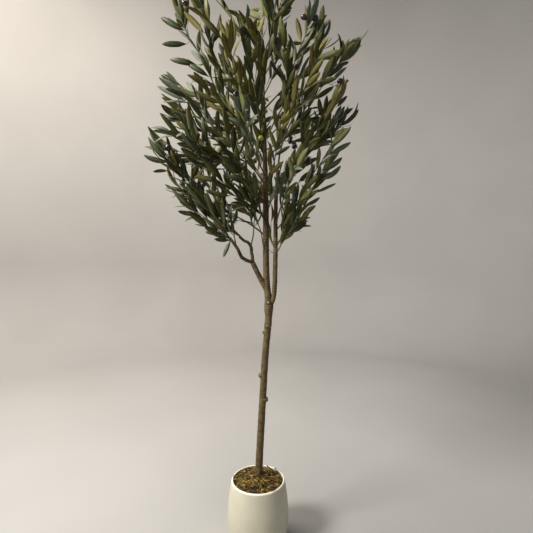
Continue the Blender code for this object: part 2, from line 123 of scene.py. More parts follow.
# Where a shaving lies over the rim, in degrees round the pot
WOOL_ON_RIM = (171.0, 167.0, 45.0, 248.0, 305.0, 310.0, 95.0)
CHIP_COURSE = ((-0.004, 0, 0), (0, 0.0012, 0.0006), (0.004, 0, -0.0004))
CHIP_WIDTHS = (0.0008, 0.0016, 0.0006)
CHIP_THICKNESS = 0.0005
CHIP_LIFT = 0.0006

# Limbs, as in the source: course, radii from foot to tip
GAP = 0.0003
COURSE_STEP = 0.004
SOCKET_BOTTOM = 0.070
RING_SPACING = 0.055
LIMBS = {
    "trunk": (
        ((-0.001, 0.012, SOCKET_BOTTOM), (0.003, 0.012, 0.235), (0.014, 0.010, 0.440),
         (0.023, 0.010, 0.590), (0.034, 0.012, 0.730), (0.026, 0.014, 0.850), (0.024, 0.014, 1.100),
         (0.017, 0.012, 1.400), (0.012, 0.010, 1.620)),
        (0.0150, 0.0120, 0.0114, 0.0113, 0.0118, 0.0103, 0.0096, 0.0054, 0.0036),
    ),
    "right_stem": (
        ((0.037, 0.012, 0.742), (0.051, 0.010, 0.785), (0.055, 0.004, 0.900), (0.056, 0.000, 1.050),
         (0.062, -0.004, 1.180)),
        (0.0090, 0.0080, 0.0078, 0.0066, 0.0052),
    ),
    "left_bough": (
        ((0.028, 0.014, 0.794), (0.004, 0.010, 0.838), (-0.020, 0.006, 0.888)),
        (0.0092, 0.0086, 0.0080),
    ),
    "left_outer_branch": (
        ((-0.018, 0.006, 0.884), (-0.046, -0.006, 0.902), (-0.068, -0.018, 0.930), (-0.093, -0.030, 0.966)),
        (0.0062, 0.0058, 0.0052, 0.0046),
    ),
    "left_upper_branch": (
        ((-0.017, 0.007, 0.882), (-0.018, 0.016, 0.915), (-0.034, 0.028, 0.948), (-0.062, 0.046, 0.972)),
        (0.0060, 0.0054, 0.0050, 0.0044),
    ),
}

# Bark: overlapping turns of ridged wrap
BARK_SIDES = 24
WRAP_PITCHES = (0.0056, 0.0090)
WRAP_DEPTH = 0.0011
WRAP_DEPTH_SHARE = 0.10
WRAP_SLANT = 0.20
WRAP_STATIONS = ((0.0, 0.0), (0.16, 0.05), (0.38, 0.80), (0.60, 1.0), (0.86, 0.65))
BARK_UNEVEN = 0.0006
# Sideways bends of the thinnest limbs, evenly spaced from foot to tip
LIMB_BENDS = {
    "left_outer_branch": ((0, 0, 0), (-0.002, 0, -0.003), (-0.006, 0, -0.002), (-0.002, 0, 0),
                          (0.003, 0, -0.002), (0.001, 0, 0.001), (0, 0, 0)),
    "left_upper_branch": ((0, 0, 0), (-0.002, 0, 0), (-0.004, 0, 0), (0.001, 0, 0.002), (0.001, 0, 0.001),
                          (0, 0, -0.005), (-0.003, 0, -0.001)),
}
DARK_STRETCHES = {"left_outer_branch": (0.12, 0.55), "left_upper_branch": (0.58, 0.95)}
FORK_HEIGHT = 0.742
FORK_SWELL = 0.0034
FORK_SPREAD = 0.022
JOINT_HEIGHT = 0.681
JOINT_STAND_OUT = 0.0014
JOINT_LENGTH = 0.010
JOINT_ROOM = 0.0005
# Round the joint: how far above it, and how far the bark stands out there
JOINT_STATIONS = ((-0.0085, 1.0), (-0.0070, -0.3), (-0.0052, -0.3), (-0.0048, 1.0), (0.0046, 1.0),
                  (0.0052, 0.0), (0.0066, 0.1))
KNOTS = (
    # height, azimuth in degrees, radius, how far it stands out of the bark
    (0.441, -8.0, 0.0062, 0.0060),
    (0.517, 172.0, 0.0055, 0.0065),
    (0.655, 184.0, 0.0040, 0.0045),
    (0.752, -98.0, 0.0042, 0.0035),
)
KNOT_SIDES = 14
KNOT_RISE = 0.35
KNOT_BURIED = 0.0114
# A knot's outline, as shares of its radius and its length
KNOT_OUTLINE = ((0.0, 0.0), (1.9, 0.45), (1.35, 0.72), (1.08, 0.94), (0.98, 1.0), (0.80, 1.0), (0.72, 0.96),
                (0.0, 0.97))

# Crown outline, as in the source: height, and its reach to the left, to the right, and in depth
CROWN = (
    (0.89, 0.12, 0.08, 0.10),
    (1.00, 0.22, 0.18, 0.20),
    (1.10, 0.31, 0.25, 0.27),
    (1.22, 0.38, 0.30, 0.32),
    (1.42, 0.35, 0.32, 0.33),
    (1.60, 0.34, 0.33, 0.32),
    (1.72, 0.27, 0.26, 0.25),
    (1.83, 0.08, 0.08, 0.08),
)
CROWN_AXIS = (0.020, 0.010)

# Sprays, as in the source
TIP_SPRAYS = (
    ("left_outer_branch", 196.0, 1.16),
    ("left_upper_branch", 140.0, 1.26),
    ("right_stem", 330.0, 1.45),
    ("trunk", 90.0, 1.76),
)
SPIRAL_SPRAYS = 19
SPIRAL_FOOT = 0.935
SPIRAL_HEAD = 1.545
SPIRAL_START = 20.0
GOLDEN_ANGLE = 137.5
RISE_AT_FOOT = 0.08
RISE_AT_HEAD = 0.21
RISE_GROWTH = 3.0
STEM_ARCH = 0.14
STEM_RADIUS = 0.0030
STEM_TIP_RADIUS = 0.0012
STEM_RINGS = 5
SOURCE_LEAF_REACH = 0.102 * math.cos(math.radians(40.0))
SECOND_STEM_ANGLE = 42.0
DODGE_ANGLE = 9.0
SPACE_MARGIN = 0.0030
LIMB_ROOM = 0.0020

# Twigs: the source's places along a stem, and the finer ones between them
TWIG_PLACES = (0.24, 0.42, 0.60, 0.78)
FINE_TWIG_PLACES = (0.33, 0.51, 0.69, 0.88)
FINE_TWIG_TURN = 68.0
TWIG_SHARE = 0.50
TWIG_SPLAY = 40.0
TWIG_LIFT = 0.20
TWIG_RADIUS = 0.0016
TWIG_TIP_RADIUS = 0.0008
TWIG_RINGS = 8
TWIG_SIDES = 6
# The source's leaves are longer, so that its twigs end sooner; the real ones go on by this much
TWIG_GROWTH = 0.034
STEM_GROWTH = 0.016
GROWTH_STEP = 0.01
GROWTH_LIFT = 0.05
STEM_STEP = 0.02
SHOOT_STEP = 0.012
# How brown the foot of a twig is, where a stem's is 1
TWIG_AGE = 0.35
FINE_TWIG_CEILING = 1.36
# How much of the rule's twigs is left out: in front and at the top, where the shoots below take their
# place, and elsewhere
THIN_FRONT = 0.80
THIN_TOP = 0.78
THIN_REST = 0.20
FRONT_BEFORE = -0.03
TOP_FROM = 1.42

# The shoots that show in front: the limb and the height they leave it at, where they pass in the
# photograph, in pixels, the depth of their end, how much of their foot is bare, and their leaves' tone
SHOOTS = (
    ("left_outer_branch", 0.962, ((225, 230), (216, 217), (206, 203), (196, 194), (187, 184), (182, 174),
     (175, 167), (168, 160)), -0.09, 0.03, "dark"),
    ("left_outer_branch", 0.956, ((219, 231), (210, 222), (200, 214), (191, 207)), -0.05, 0.02, "dark"),
    ("left_outer_branch", 0.960, ((216, 217), (204, 204), (192, 196), (184, 191)), -0.04, 0.05, "dark"),
    ("left_outer_branch", 0.948, ((222, 237), (214, 231), (208, 227)), -0.08, 0.01, "dark"),
    ("left_outer_branch", 0.930, ((235, 240), (233, 230), (232, 222)), -0.03, 0.00, "dark"),
    ("left_upper_branch", 0.965, ((230, 228), (221, 217), (217, 206)), 0.03, 0.03, "dark"),
    ("left_upper_branch", 0.968, ((227, 228), (213, 212), (205, 198), (203, 187)), 0.05, 0.04, "dark"),
    ("left_upper_branch", 0.932, ((253, 237), (254, 224), (255, 212), (254, 200)), -0.02, 0.07, "olive"),
    ("trunk", 0.892, ((263, 244), (261, 232), (257, 221), (255, 211), (251, 201)), -0.05, 0.10, "dark"),
    ("trunk", 1.000, ((262, 215), (256, 200), (250, 185), (240, 174)), -0.12, 0.05, "dark"),
    ("trunk", 1.010, ((262, 215), (248, 205), (234, 195), (226, 190)), -0.06, 0.06, "dark"),
    ("trunk", 1.036, ((243, 200), (235, 192), (227, 185), (220, 180), (212, 170), (203, 162), (195, 151)),
     -0.16, 0.04, "dark"),
    ("trunk", 1.075, ((252, 186), (243, 173), (229, 162), (215, 154), (204, 143), (195, 134)),
     -0.12, 0.05, "dark"),
    ("trunk", 1.130, ((256, 172), (243, 157), (228, 143), (213, 127), (203, 110), (195, 102), (186, 97)),
     -0.12, 0.06, "grey"),
    ("trunk", 1.120, ((254, 176), (236, 158), (214, 139), (196, 127), (180, 118)), -0.04, 0.08, "dark"),
    ("trunk", 1.160, ((258, 160), (250, 142), (245, 124), (243, 112)), -0.22, 0.06, "grey"),
    ("trunk", 1.196, ((258, 150), (246, 132), (232, 114), (219, 103), (210, 94)), -0.14, 0.06, "olive"),
    ("trunk", 1.244, ((248, 132), (230, 110), (215, 86), (206, 68), (198, 52), (190, 41), (186, 30),
     (183, 22)), -0.04, 0.08, "grey"),
    ("trunk", 1.276, ((252, 122), (238, 98), (225, 76), (215, 56), (210, 40), (207, 25), (204, 8)),
     -0.10, 0.08, "dark"),
    ("trunk", 1.324, ((254, 108), (241, 90), (234, 72), (231, 52)), -0.18, 0.07, "olive"),
    ("trunk", 1.372, ((262, 92), (259, 70), (256, 50), (250, 38), (245, 25)), -0.12, 0.06, "dark"),
    ("trunk", 1.380, ((264, 90), (262, 70), (258, 52), (257, 40)), -0.16, 0.06, "olive"),
    ("trunk", 1.420, ((272, 78), (276, 58), (275, 38), (278, 14), (281, 2)), -0.10, 0.05, "grey"),
    ("trunk", 1.308, ((275, 112), (285, 90), (293, 67), (299, 50), (306, 34), (309, 25)),
     -0.14, 0.07, "grey"),
    ("trunk", 1.276, ((280, 125), (296, 103), (308, 82), (314, 60)), -0.18, 0.07, "olive"),
    ("trunk", 1.244, ((284, 138), (303, 116), (320, 90), (331, 68), (338, 58), (344, 52)),
     -0.04, 0.08, "dark"),
    ("trunk", 1.120, ((272, 172), (276, 152), (279, 132), (281, 120)), -0.20, 0.06, "olive"),
    ("right_stem", 1.100, ((282, 190), (294, 172), (300, 156), (304, 140)), -0.16, 0.06, "dark"),
    ("right_stem", 1.150, ((290, 166), (305, 148), (318, 130), (328, 114), (334, 102)),
     -0.08, 0.04, "olive"),
    ("right_stem", 1.130, ((292, 172), (310, 150), (324, 136), (335, 124)), -0.03, 0.04, "grey"),
    ("right_stem", 0.985, ((288, 216), (300, 198), (308, 184), (313, 174), (320, 164), (326, 154),
     (332, 147)), -0.12, 0.08, "grey"),
    ("right_stem", 0.930, ((283, 235), (290, 224), (297, 212), (304, 201), (311, 191), (317, 181),
     (322, 172)), -0.05, 0.05, "dark"),
    ("right_stem", 0.908, ((280, 247), (284, 238), (292, 229), (297, 217), (304, 207)),
     -0.06, 0.04, "dark"),
    ("right_stem", 0.940, ((281, 238), (283, 226), (285, 213)), -0.03, 0.02, "dark"),
    ("right_stem", 0.925, ((271, 240), (271, 230), (271, 222)), 0.02, 0.02, "dark"),
)
# Bare strands beside the right stem: the height of the foot, and the end in pixels
STRANDS = ((0.940, (269, 237)), (0.908, (269, 250)))
SHOOT_RADIUS = 0.0024
SHOOT_TIP_RADIUS = 0.0009
STALK_RADII = (0.0010, 0.0008)
HANGING_STALK_RADII = (0.0012, 0.0010)
# How far a seen leaf's tip may lie nearer or further than its foot
SEEN_LEAF_LEAN = (-0.025, 0.010)
# A leaf that hangs from the end of the outer branch, by its foot and its tip in pixels
HANGING_LEAF = ((230.4, 240.9), (223.6, 257.0), -0.026)
# The leaves that stand out in the photograph: foot and tip in pixels, tone, and how far the leaf is turned
# about its length, from 0 with its upper side in front to 180 with its underside, or less than 0 the other
# way round
LEAVES_SEEN = (
    ((185, 31), (160, 17), "dark", -25), ((187, 44), (162, 44), "dark", -35),
    ((197, 65), (170, 59), "dark", -20), ((209, 77), (187, 63), "dark", -10),
    ((184, 26), (177, 4), "dark", 40), ((184, 28), (176, 19), "olive", 150),
    ((204, 33), (184, 12), "olive", 150), ((212, 44), (222, 16), "dark", 165),
    ((209, 42), (205, 13), "grey", 10), ((206, 22), (202, -6), "grey", 20),
    ((204, 18), (190, -4), "olive", 165), ((230, 54), (221, 24), "olive", 170),
    ((232, 50), (233, 18), "olive", 160), ((229, 70), (219, 43), "dark", 35),
    ((231, 78), (221, 54), "olive", 150), ((243, 20), (227, 9), "olive", 125),
    ((244, 25), (249, 3), "grey", 50), ((187, 97), (159, 79), "grey", 10),
    ((185, 101), (157, 86), "grey", 15), ((186, 95), (169, 77), "dark", 60),
    ((190, 103), (163, 102), "dark", 45), ((197, 100), (191, 83), "dark", 65),
    ((216, 90), (192, 78), "dark", 30), ((230, 102), (205, 87), "olive", 10),
    ((219, 112), (200, 92), "olive", 165), ((177, 118), (162, 104), "olive", 150),
    ((179, 118), (161, 114), "dark", 60), ((193, 135), (175, 121), "olive", 160),
    ((184, 130), (170, 126), "dark", 55), ((199, 151), (183, 138), "dark", 20),
    ((188, 143), (176, 140), "olive", 60), ((204, 163), (184, 149), "dark", 15),
    ((206, 168), (186, 162), "dark", 30), ((166, 158), (150, 132), "dark", 40),
    ((166, 158), (145, 145), "dark", 50), ((169, 162), (143, 156), "dark", -35),
    ((170, 157), (165, 136), "dark", 55), ((178, 168), (171, 150), "olive", 165),
    ((185, 177), (181, 156), "dark", 50), ((182, 176), (166, 167), "olive", 50),
    ((168, 171), (153, 172), "dark", -50), ((192, 181), (203, 167), "dark", 150),
    ((219, 181), (194, 177), "dark", 160), ((187, 191), (167, 188), "dark", 35),
    ((193, 195), (172, 199), "dark", 60), ((190, 207), (174, 207), "olive", 70),
    ((200, 215), (178, 211), "dark", 15), ((204, 218), (185, 219), "dark", 55),
    ((214, 228), (195, 226), "dark", 65), ((229, 238), (210, 232), "dark", 20),
    ((230, 196), (206, 190), "dark", 140), ((251, 215), (227, 205), "dark", 150),
    ((231, 226), (238, 210), "dark", 40), ((254, 224), (240, 221), "dark", 60),
    ((333, 147), (349, 127), "dark", 40), ((332, 144), (344, 127), "dark", 150),
    ((329, 155), (350, 142), "grey", 30), ((322, 171), (343, 158), "grey", 30),
    ((321, 180), (342, 167), "grey", 35), ((304, 206), (320, 198), "dark", 30),
    ((315, 193), (335, 182), "dark", 62), ((298, 224), (308, 221), "dark", 60),
    ((274, 156), (290, 146), "dark", 20), ((345, 49), (359, 40), "grey", 25),
    ((345, 54), (356, 48), "grey", 35), ((340, 53), (339, 33), "dark", 45),
    ((341, 54), (343, 40), "olive", 150), ((339, 66), (349, 61), "dark", 55),
    ((331, 83), (346, 67), "grey", 50), ((334, 86), (349, 81), "dark", 55),
    ((337, 104), (343, 88), "olive", 30), ((337, 107), (347, 96), "dark", 25),
    ((338, 119), (353, 108), "dark", 20), ((338, 125), (351, 119), "dark", 50),
    ((309, 29), (327, 15), "grey", 30), ((304, 42), (326, 27), "grey", 20),
    ((306, 30), (309, 5), "grey", 20), ((312, 20), (316, -2), "dark", 40),
    ((301, 42), (296, 17), "olive", 160), ((294, 52), (287, 34), "grey", 30),
    ((298, 57), (312, 46), "grey", 30), ((315, 58), (316, 35), "olive", 10),
    ((317, 59), (325, 38), "olive", 165), ((273, 27), (262, 0), "olive", 160),
    ((275, 47), (287, 20), "grey", 15), ((279, 17), (291, 10), "dark", 55),
    ((281, 4), (292, 9), "dark", 60), ((257, 39), (263, 15), "olive", 150),
    ((256, 43), (249, 18), "olive", 15), ((276, 49), (282, 36), "grey", 30),
)
# How far past the frame's box a shoot's leaf may reach
OVER_REACH = 0.020

# Where the photograph shows sky in the crown and close round it, read off it: place and radius in pixels
SKY_GAPS = (
    (218, 10, 7), (234, 6, 5.5), (214, 11, 4), (219, 36, 2.5), (217, 42, 3), (256, 5, 4), (194, 30, 2.5),
    (202, 46, 2.5), (209, 58, 2.5), (222, 64, 2.5), (178, 51, 4), (180, 68, 4.5), (296, 7, 6), (288, 25, 4),
    (293, 35, 3), (333, 31, 5), (330, 50, 4), (305, 57, 3), (287, 60, 2.5), (257, 73, 3), (270, 57, 2.5),
    (273, 66, 2.5), (283, 71, 2.5), (276, 88, 3.5), (275, 96, 2.5), (302, 78, 2), (301, 86, 2.5),
    (281, 115, 2), (290, 123, 3.5), (295, 117, 3), (267, 127, 2), (267, 113, 2), (262, 91, 2),
    (283, 143, 2), (287, 154, 5), (300, 143, 2.5), (309, 167, 2), (300, 175, 4.5), (338, 124, 2.5),
    (221, 82, 2), (214, 99, 2), (235, 103, 2.5), (200, 87, 3), (212, 113.5, 2.5), (210, 124, 2.5),
    (232, 150, 4), (242, 157, 4), (226, 168, 2.5), (181, 154, 4), (188, 157.5, 2.5), (189, 168, 5),
    (205, 173, 3.5), (180, 132, 3), (212, 183, 3.5), (212, 196, 4.5), (229, 197, 4), (199, 184, 2),
    (235, 211, 3), (242, 216, 4), (245, 228, 8), (258, 234, 3), (259.5, 213, 1.5), (270, 207, 3),
    (292, 206, 2), (289, 184, 4), (298, 187, 3.5),
    # round the outside, between the plumes
    (168, 8, 6), (158, 6, 9), (168, 35, 7), (178, 37, 4), (172, 52, 4), (160, 52, 7), (160, 68, 6),
    (172, 69, 5), (151, 110, 8), (158, 122, 5), (172, 133, 3), (174, 146, 4), (152, 166, 3.5),
    (155, 182, 8), (172, 182, 4), (161, 205, 8), (173, 224, 7), (190, 238, 8), (205, 243, 7), (215, 251, 7),
    (346, 18, 9), (352, 30, 8), (335, 10, 9), (349, 74, 3.5), (357, 92, 6), (360, 62, 8), (358, 130, 7),
    (345, 151.5, 3), (353, 166, 9), (345, 186, 9), (331, 201, 8), (318, 215, 8), (308, 236, 8),
    (297, 248, 8), (322, 187, 3),
)

# Leaves, at about their real size
LEAF_LENGTHS = (0.058, 0.090)
LEAF_WIDTHS = (0.0120, 0.0188)
SMALLER_LEAVES = (1.0, 0.8, 0.65)
LEAF_SHAPE = 0.225
LEAF_THICKNESS = 0.008
LEAF_ROWS = 8
LEAF_MIDDLE = 0.55
LEAF_ROUNDNESS = 2.3
LEAF_TAPER = 0.32
LEAF_SPLAYS = (12.0, 38.0)
LEAF_TIP_SPLAYS = (6.0, 18.0)
LEAF_LIFT = 0.08
LEAF_STEP = 0.025
SHOOT_LEAF_STEP = 0.036
HIGH_LEAF_STEP = 0.045
LEAF_ROLL = 80.0
FACE_OUT = 0.80
FACE_OUT_RISE = 0.15
# Where along a leaf its room is tested, how far its pair sits on, and the splay of the leaf at a twig's end
LEAF_TESTS = (0.35, 0.65, 1.0)
PAIR_STEP = 0.01
END_LEAF_SPLAY = 3.0
PAIR_TURNS = (25.0, 85.0)
BARE_FOOT = 0.016
BARE_STEM = 0.060
BLADES = (
    # bow, curl at the tip, fold along the rib and twist in degrees
    (0.04, 0.00, 0.10, 0.0),
    (0.09, -0.08, 0.18, 12.0),
    (-0.06, 0.05, 0.08, -12.0),
    (0.07, 0.08, 0.20, -20.0),
    (0.12, -0.14, 0.14, 24.0),
    (-0.09, -0.02, 0.12, 8.0),
    (0.02, 0.10, 0.06, -6.0),
)
LEAF_TONES = {
    # upper side, lighter upper side, rib, underside, lighter underside
    "dark": ((0.020, 0.030, 0.010), (0.048, 0.063, 0.024), (0.098, 0.110, 0.050), (0.052, 0.054, 0.010),
             (0.090, 0.088, 0.019)),
    "grey": ((0.056, 0.073, 0.050), (0.096, 0.119, 0.080), (0.160, 0.178, 0.118), (0.086, 0.091, 0.028),
             (0.118, 0.120, 0.041)),
    "olive": ((0.068, 0.068, 0.014), (0.108, 0.106, 0.026), (0.180, 0.170, 0.058), (0.094, 0.082, 0.016),
              (0.136, 0.116, 0.027)),
}
RIB_FROM = 0.78

# Olives: where they show in the photograph, in pixels, and their ripeness
OLIVE_LENGTH = 0.020
OLIVE_RADIUS = 0.0082
OLIVE_TONES = {
    "black": ((0.008, 0.005, 0.010), (0.030, 0.012, 0.022)),
    "red": ((0.040, 0.006, 0.010), (0.085, 0.014, 0.016)),
    "green": ((0.300, 0.290, 0.035), (0.420, 0.400, 0.060)),
}
OLIVES_SEEN = (
    (185, 3, "black"), (168, 148, "black"), (315, 18, "black"), (340, 81, "black"), (179, 115, "black"),
    (316, 142, "black"), (203, 185, "black"), (236, 94, "black"), (304, 17, "red"), (297, 66, "red"),
    (338, 66, "red"), (197, 135, "red"), (255, 99, "red"), (242, 38, "green"), (261, 138, "green"),
)
OLIVES_UNSEEN = 16
# Where an olive may hang along a twig, its stalk, and how far an unseen one hangs out and down
OLIVE_PLACES = (0.35, 0.55, 0.75)
OLIVE_STALK_RADIUS = 0.0007
OLIVE_OUT = 0.010
OLIVE_DOWN = 0.020

# Stage and lights
FLOOR_RADIUS = 2.6
COVE_RADIUS = 0.9
COVE_STEPS = 12
WALL_HEIGHT = 6.5
STAGE_STEPS = 96
LIGHTS = (
    # name, place, what it points at, size, power, colour
    ("key", (-1.7, -1.0, 2.2), (0.0, 0.0, 0.9), 0.8, 92.0, (1.0, 0.96, 0.89)),
    ("top", (-0.3, -0.2, 3.6), (0.0, 0.0, 0.0), 1.2, 36.0, (1.0, 0.97, 0.92)),
    ("backdrop", (-1.7, 0.6, 3.6), (-1.9, 3.4, 1.2), 2.2, 125.0, (1.0, 0.90, 0.77)),
)
WORLD_COLOUR = (0.88, 0.91, 0.95, 1.0)
WORLD_STRENGTH = 0.25

Limb = collections.namedtuple("Limb", "course radii")
Spray = collections.namedtuple("Spray", "name limb stem length")
Sample = collections.namedtuple("Sample", "points faces finishes smooth marks")


# Meshes

def sample_of(shape, marks=None):
    """A small closed shape as arrays, ready to be copied many times."""
    shape.verts.index_update()
    points = np.array([vert.co for vert in shape.verts])
    faces = [[vert.index for vert in face.verts] for face in shape.faces]
    finishes = [face.material_index for face in shape.faces]
    smooth = [face.smooth for face in shape.faces]
    shape.free()
    return Sample(points, faces, finishes, smooth, marks if marks is not None else np.zeros(len(points)))


def dressed(mesh, name, finishes, replaced=()):
    """The mesh as a piece of the tree, with its finishes, riding on the frame."""
    for finish in finishes:
        mesh.materials.append(finish)
    piece = bpy.data.objects.new(name, mesh)
    bpy.context.scene.collection.objects.link(piece)
    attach(piece, "root")
    if replaced:
        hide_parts(*replaced)
    return piece


def marked(mesh, marks):
    """The mesh with a number for each vertex, which its finish reads."""
    mark = mesh.attributes.new("mark", "FLOAT", "POINT")
    mark.data.foreach_set("value", np.asarray(marks, np.float32))


def mesh_of(shape, name):
    mesh = bpy.data.meshes.new(name)
    shape.to_mesh(mesh)
    shape.free()
    return mesh


def piece_of(shape, name, finishes, replaced=(), marks=None):
    bmesh.ops.recalc_face_normals(shape, faces=shape.faces)
    mesh = mesh_of(shape, name)
    if marks:
        marked(mesh, marks)
    return dressed(mesh, name, finishes, replaced)


def many(name, placed, finishes, replaced=()):
    """One piece of many small shapes, each a sample and the matrix that places it."""
    points, faces, indexes, smooth, marks = [], [], [], [], []
    count = 0
    for sample, place in placed:
        turned = np.array(place)
        points.append(sample.points @ turned[:3, :3].T + turned[:3, 3])
        faces.extend([corner + count for corner in face] for face in sample.faces)
        indexes.extend(sample.finishes)
        smooth.extend(sample.smooth)
        marks.append(sample.marks)
        count += len(sample.points)
    mesh = bpy.data.meshes.new(name)
    mesh.from_pydata(np.concatenate(points), [], faces)
    mesh.polygons.foreach_set("material_index", indexes)
    mesh.polygons.foreach_set("use_smooth", smooth)
    marked(mesh, np.concatenate(marks))
    mesh.update()
    return dressed(mesh, name, finishes, replaced)


def smooth_course(points, spacing):
    """Points about that far apart on a Catmull-Rom curve through the given ones.
    Each comes with its place on the curve as a share."""
    knots = [Vector(p) for p in points]
    knots = [2 * knots[0] - knots[1], *knots, 2 * knots[-1] - knots[-2]]
    course = []
    for i in range(1, len(knots) - 2):
        before, start, end, after = knots[i - 1:i + 3]
        count = max(1, round((end - start).length / spacing))
        for step in range(count):
            t = step / count
            square = (2 * before - 5 * start + 4 * end - after) * t ** 2
            cube = (3 * start - before - 3 * end + after) * t ** 3
            point = 0.5 * (2 * start + (end - before) * t + square + cube)
            course.append((point, (i - 1 + t) / (len(points) - 1)))
    course.append((knots[-2], 1.0))
    return course


def at_share(values, share):
    """A value, or a point, read off an evenly spaced list."""
    place = min(max(share, 0.0), 1.0) * (len(values) - 1)
    low = min(int(place), len(values) - 2)
    return values[low] + (values[low + 1] - values[low]) * (place - low)


def course_frames(course):
    """For each point of the course, the way along it and two ways square to that."""
    across = (course[1] - course[0]).orthogonal().normalized()
    frames = []
    for i in range(len(course)):
        along = (course[min(i + 1, len(course) - 1)] - course[max(i - 1, 0)]).normalized()
        across = (across - along * across.dot(along)).normalized()
        frames.append((along, across, along.cross(across)))
    return frames


def tube(course, radii, sides, thick=None):
    """A closed tapering tube: a capped ring, extruded from point to point along the course.
    A ribbon has a thickness of its own."""
    places = []
    for point, radius, (along, across, square) in zip(course, radii, course_frames(course)):
        turned = Matrix((across * radius, square * (thick or radius), along)).transposed()
        places.append(Matrix.Translation(point) @ turned.to_4x4())
    shape = bmesh.new()
    bmesh.ops.create_circle(shape, cap_ends=True, segments=sides, radius=1.0, matrix=places[0])
    cap = next(iter(shape.faces))
    for i, (before, after) in enumerate(zip(places, places[1:])):
        grown = bmesh.ops.extrude_face_region(shape, geom=[cap])["geom"]
        if i:
            bmesh.ops.delete(shape, geom=[cap], context="FACES_ONLY")
        cap = next(item for item in grown if isinstance(item, bmesh.types.BMFace))
        bmesh.ops.transform(shape, matrix=after @ before.inverted(), verts=cap.verts)
    bmesh.ops.recalc_face_normals(shape, faces=shape.faces)
    for face in shape.faces:
        face.smooth = len(face.verts) == 4
    return shape


def swept(profile, steps):
    """A profile of radii and heights, swept right round Z."""
    shape = bmesh.new()
    verts = [shape.verts.new((radius, 0.0, height)) for radius, height in profile]
    edges = [shape.edges.new(pair) for pair in zip(verts, verts[1:])]
    bmesh.ops.spin(shape, geom=[*verts, *edges], cent=(0, 0, 0), axis=UP, angle=math.tau, steps=steps,
                   use_merge=True)
    bmesh.ops.remove_doubles(shape, verts=shape.verts, dist=1e-6)
    for face in shape.faces:
        face.smooth = True
    return shape


def spun(profile, steps):
    """A closed solid spun about Z from a profile that starts and ends on the axis."""
    shape = swept(profile, steps)
    bmesh.ops.recalc_face_normals(shape, faces=shape.faces)
    return shape


# Materials

def node(tree, kind, inputs=None, **settings):
    made = tree.nodes.new(kind)
    for name, value in settings.items():
        setattr(made, name, value)
    for key, value in (inputs or {}).items():
        if isinstance(value, bpy.types.NodeSocket):
            tree.links.new(value, made.inputs[key])
        else:
            made.inputs[key].default_value = value
    return made


def blended(tree, share, start, end):
    """A colour between two others."""
    colours = [(*c, 1.0) if isinstance(c, tuple) else c for c in (start, end)]
    return node(tree, "ShaderNodeMix", {0: share, 6: colours[0], 7: colours[1]}, data_type="RGBA").outputs[2]


def effect(name, inputs, output, kind):
    """An empty shader node group with number inputs and one output."""
    tree = bpy.data.node_groups.new(name, "ShaderNodeTree")
    for title, value in inputs.items():
        tree.interface.new_socket(title, in_out="INPUT", socket_type="NodeSocketFloat").default_value = value
    tree.interface.new_socket(output, in_out="OUTPUT", socket_type=kind)
    return tree, node(tree, "NodeGroupInput").outputs, node(tree, "NodeGroupOutput")


def mottle_effect():
    """Soft uneven patches, as a mask."""
    tree, given, out = effect("uneven patches", {"Scale": 20.0, "Detail": 3.0, "Low": 0.35, "High": 0.65},
                              "Mask", "NodeSocketFloat")
    place = node(tree, "ShaderNodeTexCoord").outputs["Object"]
    cloud = node(tree, "ShaderNodeTexNoise", {"Vector": place, "Scale": given["Scale"],
                                              "Detail": given["Detail"]})
    mask = node(tree, "ShaderNodeMapRange", {"Value": cloud.outputs["Fac"], "From Min": given["Low"],
                                             "From Max": given["High"]}, interpolation_type="SMOOTHSTEP")
    tree.links.new(mask.outputs["Result"], out.inputs["Mask"])
    return tree


def grain_effect():
    """Fine relief, as a normal."""
    tree, given, out = effect("fine grain", {"Scale": 200.0, "Strength": 0.3, "Depth": 0.001}, "Normal",
                              "NodeSocketVector")
    place = node(tree, "ShaderNodeTexCoord").outputs["Object"]
    cloud = node(tree, "ShaderNodeTexNoise", {"Vector": place, "Scale": given["Scale"], "Detail": 4.0})
    bump = node(tree, "ShaderNodeBump", {"Height": cloud.outputs["Fac"], "Strength": given["Strength"],
                                         "Distance": given["Depth"]})
    tree.links.new(bump.outputs["Normal"], out.inputs["Normal"])
    return tree


def placed_group(tree, group, **values):
    made = node(tree, "ShaderNodeGroup", node_tree=group)
    for name, value in values.items():
        made.inputs[name].default_value = value
    return made.outputs[0]


MOTTLE = mottle_effect()
GRAIN = grain_effect()


def finish(name, dark, light, patches, grain, roughness, mark=None, mark_from=0.0, **shader):
    """A material with uneven colour and fine grain. A mark adds a second colour where the piece is marked,
    from the given strength of the mark."""
    made = bpy.data.materials.new(name)
    made.use_nodes = True
    tree = made.node_tree
    principled = tree.nodes["Principled BSDF"]
    scale, low, high = patches
    colour = blended(tree, placed_group(tree, MOTTLE, Scale=scale, Low=low, High=high), dark, light)
    if mark:
        strength = node(tree, "ShaderNodeAttribute", attribute_name="mark").outputs["Fac"]
        share = node(tree, "ShaderNodeMapRange", {"Value": strength, "From Min": mark_from}).outputs["Result"]
        colour = blended(tree, share, colour, mark)
    tree.links.new(colour, principled.inputs["Base Color"])
    grain_scale, grain_strength, depth = grain
    tree.links.new(placed_group(tree, GRAIN, Scale=grain_scale, Strength=grain_strength, Depth=depth),
                   principled.inputs["Normal"])
    principled.inputs["Roughness"].default_value = roughness
    for title, value in shader.items():
        principled.inputs[title.replace("_", " ")].default_value = value
    return made


# Pot

